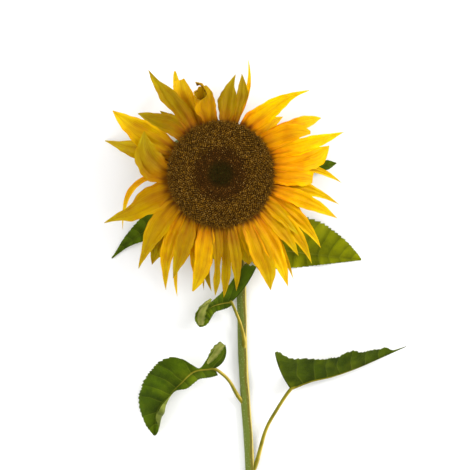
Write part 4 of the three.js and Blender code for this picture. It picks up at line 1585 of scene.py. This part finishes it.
@dataclass(kw_only=True)
class RayPetals(Piece):
    """Ring of ray petals, each with its own arc, twist, pleats and ruffled edge.

    `hoop` holds the inner and outer radius, and the lowest and highest place, of the closed ring
    that the roots stand in. Gutter, folds, pleats and edge wave are shares of the half width.
    """

    node: str = "ray_petals"
    title: str = "ray_petals_pleated"
    slot: str = "petal"
    root_radius: float = 48.5
    root_height: float = 49.5
    layer_rise: float = 0.75
    hoop: tuple[float, float, float, float] = (46.0, 52.5, 48.5, 52.2)
    hoop_sides: int = 96
    rows: int = 46
    columns: int = 14
    thickness: float = 0.42
    gutter: float = 0.2
    folds: float = 0.1
    pleats: float = 0.028
    edge_wave: float = 0.16
    scroll: Scroll = Scroll()
    seed: int = 31
    hoop_brown: Colour = linear(120, 84, 10)
    # Colour of the painted shade at the petals' roots, by the disc.
    painted_root_shade: Colour = linear(104, 62, 6)

    def spine(self, petal: Petal, u: Array) -> tuple[Array, Array]:
        """Midline of a petal: a quadratic Bezier curve.

        Args:
            petal: The petal.
            u: Places along it, from 0 to 1, in even steps.

        Returns:
            Points and unit directions.
        """
        start = polar(self.root_radius, petal.root, self.root_height + self.layer_rise * petal.layer)
        end = polar(petal.reach, petal.tip, petal.height)
        run = (end - start) * (1, 1, 0)
        left = unit(np.cross(UP, run))
        bend = start + run * petal.knee + left * 2 * petal.bow + UP * petal.lift
        w = u[:, None]
        points = (1 - w) ** 2 * start + 2 * (1 - w) * w * bend + w**2 * end
        ahead = unit((1 - w) * (bend - start) + w * (end - bend))
        return points, ahead

    def half_width(self, petal: Petal, u: Array, v: Array) -> Array:
        """Half width at u, on the side that v names: the outline's share, or the petal's own widths.

        Args:
            petal: The petal.
            u: Places along it, from 0 to 1.
            v: Places across it, from -1 to 1.

        Returns:
            A half width for each place.
        """
        if not petal.left:
            return petal.width / 2 * petal.outline.value.share(u)
        return np.where(v > 0, smooth(petal.left, u), smooth(petal.right, u))

    def surface(self, petal: Petal, rng: np.random.Generator) -> Array:
        """Grid of points of a petal.

        Across its midline it is a shallow gutter, turned by the twist. Two long folds, fine pleats,
        a wave along each edge and a small flick of the tip are added.

        Args:
            petal: The petal.
            rng: Source of its unevenness.

        Returns:
            Points, one row for each step from root to tip.
        """
        u, v = grid(self.rows, self.columns)
        points, ahead = self.spine(petal, u[:, 0])
        flat = unit(np.cross(UP, ahead))
        rise = np.cross(ahead, flat)
        turn = np.radians(petal.twist) * step(0.0, 1.0, u[:, 0])[:, None]
        aside = flat * np.cos(turn) + rise * np.sin(turn)
        normal = rise * np.cos(turn) - flat * np.sin(turn)
        phase = rng.uniform(0, TURN, 6)
        half = self.half_width(petal, u, v)
        ragged = 1 + 0.05 * np.sin(u * 17 + phase[0] + v) + 0.03 * np.sin(u * 41 + phase[1] * v)
        fade = np.sin(np.pi * np.clip(u * 1.1, 0, 1)) ** 0.7
        side = half * v * np.where(np.abs(v) > 0.5, ragged, 1.0)
        gutter = self.gutter * (v * v - 0.4)
        folds = self.folds * np.cos(TURN * (1.1 * v + 0.25 * np.sin(3 * u + phase[2]))) * fade
        pleats = self.pleats * np.cos(TURN * 3.3 * v + phase[3]) * fade
        wave = np.sin(TURN * (1.9 * u + 0.2 * v) + phase[4]) * step(0.25, 0.6, u)
        wave = self.edge_wave * np.abs(v) ** 3 * wave
        flick = rng.uniform(-0.5, 0.9) * half.max() * step(0.7, 1.0, u) ** 2 * 0.35
        depth = half * (gutter + folds + pleats + wave) + flick
        return points[:, None] + aside[:, None] * side[..., None] + normal[:, None] * depth[..., None]

    def shades(self, petal: Petal, rng: np.random.Generator) -> Array:
        """Colours over a petal: root, middle and tip tones, painted shade in brown at the root by the disc,
        lighter towards the edges.

        Args:
            petal: The petal.
            rng: Source of its unevenness.

        Returns:
            A colour for each point.
        """
        u, v = grid(self.rows, self.columns)
        root, middle, tip = (np.array(c) for c in petal.tone.value)
        wobble = u + 0.05 * np.sin(5 * v + rng.uniform(0, 6))
        shade = mixed(mixed(root, middle, step(0.05, 0.5, wobble)), tip, step(0.5, 0.98, wobble))
        # Painted shade: the root of each petal, by the disc, turns brown.
        shade = mixed(shade, self.painted_root_shade, 0.9 * (1 - step(0.05, 0.15, u + 0.02 * np.sin(9 * v))))
        return shade * (1 + rng.uniform(-0.08, 0.08) + 0.16 * (np.abs(v) ** 2 - 0.4))[..., None]

    def add_hoop(self, skin: Skin) -> None:
        """Adds the closed ring that the roots of the petals stand in, square in section.

        Args:
            skin: Mesh that takes it.
        """
        inner, outer, low, high = self.hoop
        bearings = np.arange(self.hoop_sides) * 360 / self.hoop_sides
        corners = ((inner, low), (outer, low), (outer, high), (inner, high))
        rings = np.stack([polar(r, bearings, z) for r, z in corners])
        number = np.arange(len(corners) * self.hoop_sides).reshape(len(corners), -1)
        closed = np.concatenate([number, number[:1]])
        turned = np.roll(closed, -1, axis=1)
        faces = ring_of(closed[:-1], turned[:-1], turned[1:], closed[1:])
        skin.add(rings, faces, np.zeros(2), self.hoop_brown)

    def fill(self, skin: Skin) -> None:
        """Adds the hoop, all petals and the scroll.

        Args:
            skin: Mesh that takes the piece.
        """
        self.add_hoop(skin)
        rng = np.random.default_rng(self.seed)
        u, v = grid(self.rows, self.columns)
        thin = self.thickness * (1 - 0.45 * np.abs(v) ** 3) * (1 - 0.3 * u)
        for petal in PETALS:
            over = self.shades(petal, rng)
            skin.add_shell(self.surface(petal, rng), thin, over, over * 0.9)
        self.scroll.add_to(skin)


# ---- The disc of florets -------------------------------------------------------------------------


@dataclass(kw_only=True)
class Disc(Piece):
    """Domed disc of florets set by the golden angle: closed and dark inside, open and golden outside.

    A span holds two distances from the axis, between which something sets in, and a depth says how
    far under the face a body starts. `floret`, `grain` and `fibre` are outlines of small turned
    bodies: width and height from foot to top, as shares of their size.
    """

    node: str = "disc_florets"
    title: str = "disc_of_florets"
    slot: str = "floret"
    radius: float = 53.5
    floor: float = 53.0
    rim_floor: float = 55.8
    rim_top: float = 57.5
    dome: float = 5.6
    dimple: float = 2.6
    dimple_radius: float = 12.0
    core: float = 45.7
    spacing: float = 1.02
    bed_sides: int = 96
    bed_depth: float = 1.5
    floret_depth: float = 1.6
    fibre_depth: float = 1.8
    sides: int = 5
    dark_span: tuple[float, float] = (9.0, 16.0)
    open_span: tuple[float, float] = (23.0, 31.0)
    lean_span: tuple[float, float] = (36.0, 53.0)
    rim_lean: float = 26.0
    floret: tuple[tuple[float, float], ...] = ((0.6, 0.0), (0.95, 0.35), (0.7, 0.7), (0.9, 0.92))
    floret_width: float = 0.76
    open_wider: float = 0.1
    width_spread: float = 0.1
    floret_height: float = 1.9
    open_taller: float = 0.9
    height_spread: float = 0.4
    grain: tuple[tuple[float, float], ...] = ((0.5, 0.0), (1.0, 0.4), (0.6, 0.85))
    grain_chance: tuple[float, float] = (0.62, 0.3)
    grain_width: tuple[float, float] = (0.3, 0.48)
    fibre: tuple[tuple[float, float], ...] = ((1.0, 0.0), (0.8, 0.5), (0.5, 0.85))
    fibres: int = 620
    fibre_lean: tuple[float, float] = (30.0, 78.0)
    fibre_width: tuple[float, float] = (0.25, 0.45)
    fibre_length: tuple[float, float] = (3.0, 5.2)
    seed: int = 41
    black: Colour = linear(42, 38, 7)
    maroon: Colour = linear(84, 52, 14)
    brown: Colour = linear(94, 64, 14)
    gold: Colour = linear(150, 105, 25)
    straw: Colour = linear(200, 158, 84)
    ground: Colour = linear(58, 38, 8)

    def face(self, r: Array) -> Array:
        """Height of the face at radius r: a low dome with a dimple over the unopened florets."""
        rim = np.clip(1 - (r / self.radius) ** 2, 0.0, 1.0)
        return self.rim_top + self.dome * rim**0.7 - self.dimple * np.exp(-((r / self.dimple_radius) ** 2))

    def bed(self, skin: Skin) -> None:
        """Adds the closed dark body that the florets stand on: the face's profile turned round.

        Args:
            skin: Mesh that takes it.
        """
        r = np.linspace(0.3, self.radius - 1.4, 40)
        top = np.stack([r, self.face(r) - self.bed_depth], axis=-1)
        rim = [(self.radius - 1.2, self.rim_top - 0.4), (self.radius - 1.6, self.rim_floor)]
        foot = [(self.core, self.floor), (0.3, self.floor)]
        line = np.concatenate([top, rim, foot])[::-1]
        bearings = np.arange(self.bed_sides) * 360 / self.bed_sides
        rings = np.stack([polar(a, bearings, z) for a, z in line])
        skin.add_tube(rings, np.array(self.ground))

    def scatter(self) -> tuple[Array, Array, Array]:
        """Places of the florets: radius spacing sqrt(n) at n golden angles.

        Returns:
            Radii, bearings in radians, and points on the face.
        """
        count = int(((self.radius - 1.0) / self.spacing) ** 2)
        n = np.arange(count) + 0.5
        r = self.spacing * np.sqrt(n)
        a = n * GOLDEN_ANGLE
        return r, a, np.stack([r * np.cos(a), r * np.sin(a), self.face(r) - self.floret_depth], axis=-1)

    @staticmethod
    def upright(a: Array, lean: Array) -> tuple[Array, Array, Array]:
        """Frames at bearings a: outward, round and up, leaning outwards by `lean` degrees.

        Args:
            a: Bearings in radians.
            lean: How far each leans outwards, in degrees.

        Returns:
            The three directions, each with one row for each bearing.
        """
        tip = np.radians(lean)
        out = np.stack([np.cos(a) * np.cos(tip), np.sin(a) * np.cos(tip), -np.sin(tip)], axis=-1)
        up = np.stack([np.cos(a) * np.sin(tip), np.sin(a) * np.sin(tip), np.cos(tip)], axis=-1)
        return out, np.cross(up, out), up

    def stand(
        self, skin: Skin, where: Array, axes: tuple, sizes: Array, profile: Sequence, colours: Array
    ) -> None:
        """Adds many small turned bodies, each a stack of five-sided rings with a point on top.

        Args:
            skin: Mesh that takes them.
            where: Foot of each.
            axes: Outward, round and up directions of each.
            sizes: Width and height of each.
            profile: Rows of width and height shares, from foot to top.
            colours: For each body, one colour for each row of the profile and one for the tip.
        """
        sides = self.sides
        profile = np.array(profile)
        count, rings = len(where), len(profile)
        out, around, up = axes
        a = np.arange(sides) * TURN / sides
        spread = np.cos(a)[None, :, None] * out[:, None] + np.sin(a)[None, :, None] * around[:, None]
        wide, tall = sizes[:, 0, None, None, None], sizes[:, 1, None, None, None]
        body = (
            where[:, None, None]
            + spread[:, None] * profile[None, :, None, 0, None] * wide
            + up[:, None, None] * profile[None, :, None, 1, None] * tall
        )
        tip = where + up * (profile[-1, 1] + 0.12) * sizes[:, 1:]
        points = np.concatenate([body.reshape(count, -1, 3), tip[:, None]], axis=1)
        number = np.arange(rings * sides).reshape(rings, sides)
        turned = np.roll(number, -1, axis=1)
        walls = ring_of(number[:-1], turned[:-1], turned[1:], number[1:])
        last = np.full(sides, rings * sides)
        cap = ring_of(number[-1], turned[-1], last, last)
        foot = np.array([[number[0, 4], number[0, 3], number[0, 2], number[0, 1]]])
        foot = np.concatenate([foot, [[number[0, 4], number[0, 1], number[0, 0], number[0, 0]]]])
        faces = np.concatenate([walls, cap, foot])
        each = rings * sides + 1
        all_faces = (np.arange(count)[:, None, None] * each + faces).reshape(-1, 4)
        shades = np.concatenate([np.repeat(colours[:, :rings], sides, axis=1), colours[:, rings:]], axis=1)
        skin.add(points, all_faces, np.zeros(2), shades.reshape(-1, 3))

    def florets(self, skin: Skin, rng: np.random.Generator) -> None:
        """Adds the florets, and the golden grains on the open ones.

        Args:
            skin: Mesh that takes them.
            rng: Source of their unevenness.
        """
        r, a, where = self.scatter()
        count = len(r)
        opened = step(*self.open_span, r + rng.normal(0, 1.5, count))
        lean = self.rim_lean * step(*self.lean_span, r) + 4 * rng.normal(size=count)
        axes = self.upright(a, lean)
        where = where + rng.normal(0, 0.16, (count, 3)) * (1, 1, 0)
        wide = self.floret_width + self.open_wider * opened + self.width_spread * rng.normal(size=count)
        tall = self.floret_height + self.open_taller * opened + self.height_spread * rng.normal(size=count)
        inner = mixed(self.black, self.maroon, step(*self.dark_span, r))
        skirt = mixed(inner, self.brown, opened)
        top = mixed(skirt, self.gold, 0.4 * opened * rng.uniform(0.1, 1.0, count))
        spread = np.exp(rng.normal(0, 0.3, count))[:, None]
        skirt, top = skirt * spread, top * spread
        colours = np.stack([skirt * 0.7, skirt * 0.8, skirt, top, top * 0.9], axis=1)
        self.stand(skin, where, axes, np.stack([wide, tall], axis=-1), self.floret, colours)
        chance = opened * (1 - 0.65 * step(47, 52, r)) + 0.22 * step(12, 18, r) * (1 - opened)
        for share in self.grain_chance:
            chosen = rng.uniform(size=count) < chance * share
            shift = rng.normal(0, 0.45, (count, 3)) * (1, 1, 0)
            frames = tuple(axis[chosen] for axis in axes)
            foot = (where + shift)[chosen] + frames[2] * (tall[chosen, None] * 0.85)
            self.grains(skin, rng, foot, frames)

    def grains(self, skin: Skin, rng: np.random.Generator, foot: Array, axes: tuple) -> None:
        """Adds one golden grain on each foot.

        Args:
            skin: Mesh that takes them.
            rng: Source of their sizes and colours.
            foot: Foot of each.
            axes: Outward, round and up directions of each.
        """
        size = rng.uniform(*self.grain_width, (len(foot), 1)) * (1, 1.8)
        shade = mixed(self.gold, self.straw, rng.uniform(0, 1, len(foot)))
        shade = shade * rng.uniform(0.35, 1.0, (len(foot), 1))
        self.stand(skin, foot, axes, size, self.grain, np.repeat(shade[:, None], 4, axis=1))

    def fringe(self, skin: Skin, rng: np.random.Generator) -> None:
        """Adds the brown fibres that lean out over the roots of the petals.

        Args:
            skin: Mesh that takes them.
            rng: Source of their unevenness.
        """
        count = self.fibres
        a = rng.uniform(0, TURN, count)
        r = rng.uniform(self.radius - 4.5, self.radius - 1.2, count)
        foot = np.stack([r * np.cos(a), r * np.sin(a), self.face(r) - self.fibre_depth], axis=-1)
        axes = self.upright(a, rng.uniform(*self.fibre_lean, count))
        size = [rng.uniform(*self.fibre_width, count), rng.uniform(*self.fibre_length, count)]
        shade = mixed(self.maroon, self.gold, rng.uniform(0, 0.8, count))
        colours = np.repeat(shade[:, None], 4, axis=1)
        self.stand(skin, foot, axes, np.stack(size, axis=-1), self.fibre, colours)

    def fill(self, skin: Skin) -> None:
        """Adds the bed, the florets with their grains, and the fringe of fibres.

        Args:
            skin: Mesh that takes the piece.
        """
        self.bed(skin)
        rng = np.random.default_rng(self.seed)
        self.florets(skin, rng)
        self.fringe(skin, rng)


# ---- Floor, light and camera ----------------------------------------------------------------------


@dataclass(frozen=True)
class Lamp:
    """Square area light at a place in metres, with its width and its power in watts."""

    name: str
    place: Place
    size: float
    power: float

    def hang(self) -> None:
        """Hangs the lamp so that it faces the origin."""
        light = bpy.data.lights.new(self.name, "AREA")
        light.energy = self.power
        light.size = self.size
        made = bpy.data.objects.new(self.name, light)
        x, y, z = self.place
        made.location = self.place
        made.rotation_euler = (math.atan2(math.hypot(x, y), z), 0.0, math.atan2(x, -y))
        bpy.context.scene.collection.objects.link(made)


@dataclass
class Studio:
    """Pale floor, soft light from the right and a camera that looks straight down.

    `picture_width` is how wide the picture is at `sharp_height`, and `aim` where the camera looks,
    measured from the head's axis. All is in metres, apart from the sensor's width in millimetres.
    """

    camera_height: float = 1.8
    sharp_height: float = 0.05
    picture_width: float = 0.45
    aim: tuple[float, float] = (0.0045, -0.0605)
    sensor: float = 36.0
    clip: tuple[float, float] = (0.05, 20.0)
    floor_reach: float = 4.0
    room_light: float = 0.88
    lamps: tuple[Lamp, ...] = (
        Lamp("key", (1.5, 0.75, 1.2), 0.9, 30.0),
        Lamp("fill", (-1.3, -0.2, 1.2), 1.6, 14.0),
    )

    def lay_floor(self) -> None:
        """Lays a wide pale floor under the flower."""
        mesh = bpy.data.meshes.new("floor")
        turns = ((-1, -1), (1, -1), (1, 1), (-1, 1))
        corners = [(x * self.floor_reach, y * self.floor_reach, 0) for x, y in turns]
        mesh.from_pydata(corners, [], [(0, 1, 2, 3)])
        mesh.materials.append(FloorFinish().make())
        made = bpy.data.objects.new("floor", mesh)
        bpy.context.scene.collection.objects.link(made)

    def light_room(self) -> None:
        """Hangs the lamps and fills the room with even light."""
        for lamp in self.lamps:
            lamp.hang()
        world = bpy.data.worlds.new("pale room")
        world.use_nodes = True
        room = world.node_tree.nodes["Background"]
        room.inputs["Color"].default_value = (1.0, 1.0, 1.0, 1.0)
        room.inputs["Strength"].default_value = self.room_light
        bpy.context.scene.world = world

    def set_camera(self, axis: Array) -> None:
        """Sets up the camera over the flower.

        Args:
            axis: Where the head's axis meets the surface, in metres.
        """
        lens = bpy.data.cameras.new("camera")
        lens.sensor_fit = "HORIZONTAL"
        lens.sensor_width = self.sensor
        lens.lens = self.sensor * (self.camera_height - self.sharp_height) / self.picture_width
        lens.clip_start, lens.clip_end = self.clip
        camera = bpy.data.objects.new("camera", lens)
        camera.location = (axis[0] + self.aim[0], axis[1] + self.aim[1], self.camera_height)
        bpy.context.scene.collection.objects.link(camera)
        bpy.context.scene.camera = camera
        bpy.context.scene.view_settings.view_transform = "Standard"


# ---- The whole flower -------------------------------------------------------------------------------


def head_axis() -> Array:
    """Where the head's axis meets the surface: the middle of the disc's box, at height 0."""
    low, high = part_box("disc_florets")
    return np.array([(low.x + high.x) / 2, (low.y + high.y) / 2, 0.0])


def main() -> None:
    """Builds the flower piece by piece, each in place of its plain solid."""
    logging.basicConfig(level=logging.INFO, format="%(name)s %(message)s")
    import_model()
    axis = head_axis()
    streaks = streak_group()
    veins = vein_group()
    stem_finish = StemFinish().make(streaks)
    leaf_finish = LeafFinish().make(veins)
    bract_finish = StemFinish(name="bract").make(streaks)
    petal_finish = PetalFinish().make(streaks)
    floret_finish = FloretFinish().make()
    pieces = [Stem().build(axis, stem_finish)]
    pieces += [leaf.build(axis, leaf_finish) for leaf in LEAVES]
    pieces.append(HeadBase().build(axis, bract_finish))
    pieces.append(RayPetals().build(axis, petal_finish))
    pieces.append(Disc().build(axis, floret_finish))
    for piece in pieces:
        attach(piece, "root")
        log.info("%s: %d points, %d faces", piece.name, len(piece.data.vertices), len(piece.data.polygons))
    studio = Studio()
    studio.lay_floor()
    studio.light_room()
    studio.set_camera(axis)


if __name__ == "__main__":
    main()
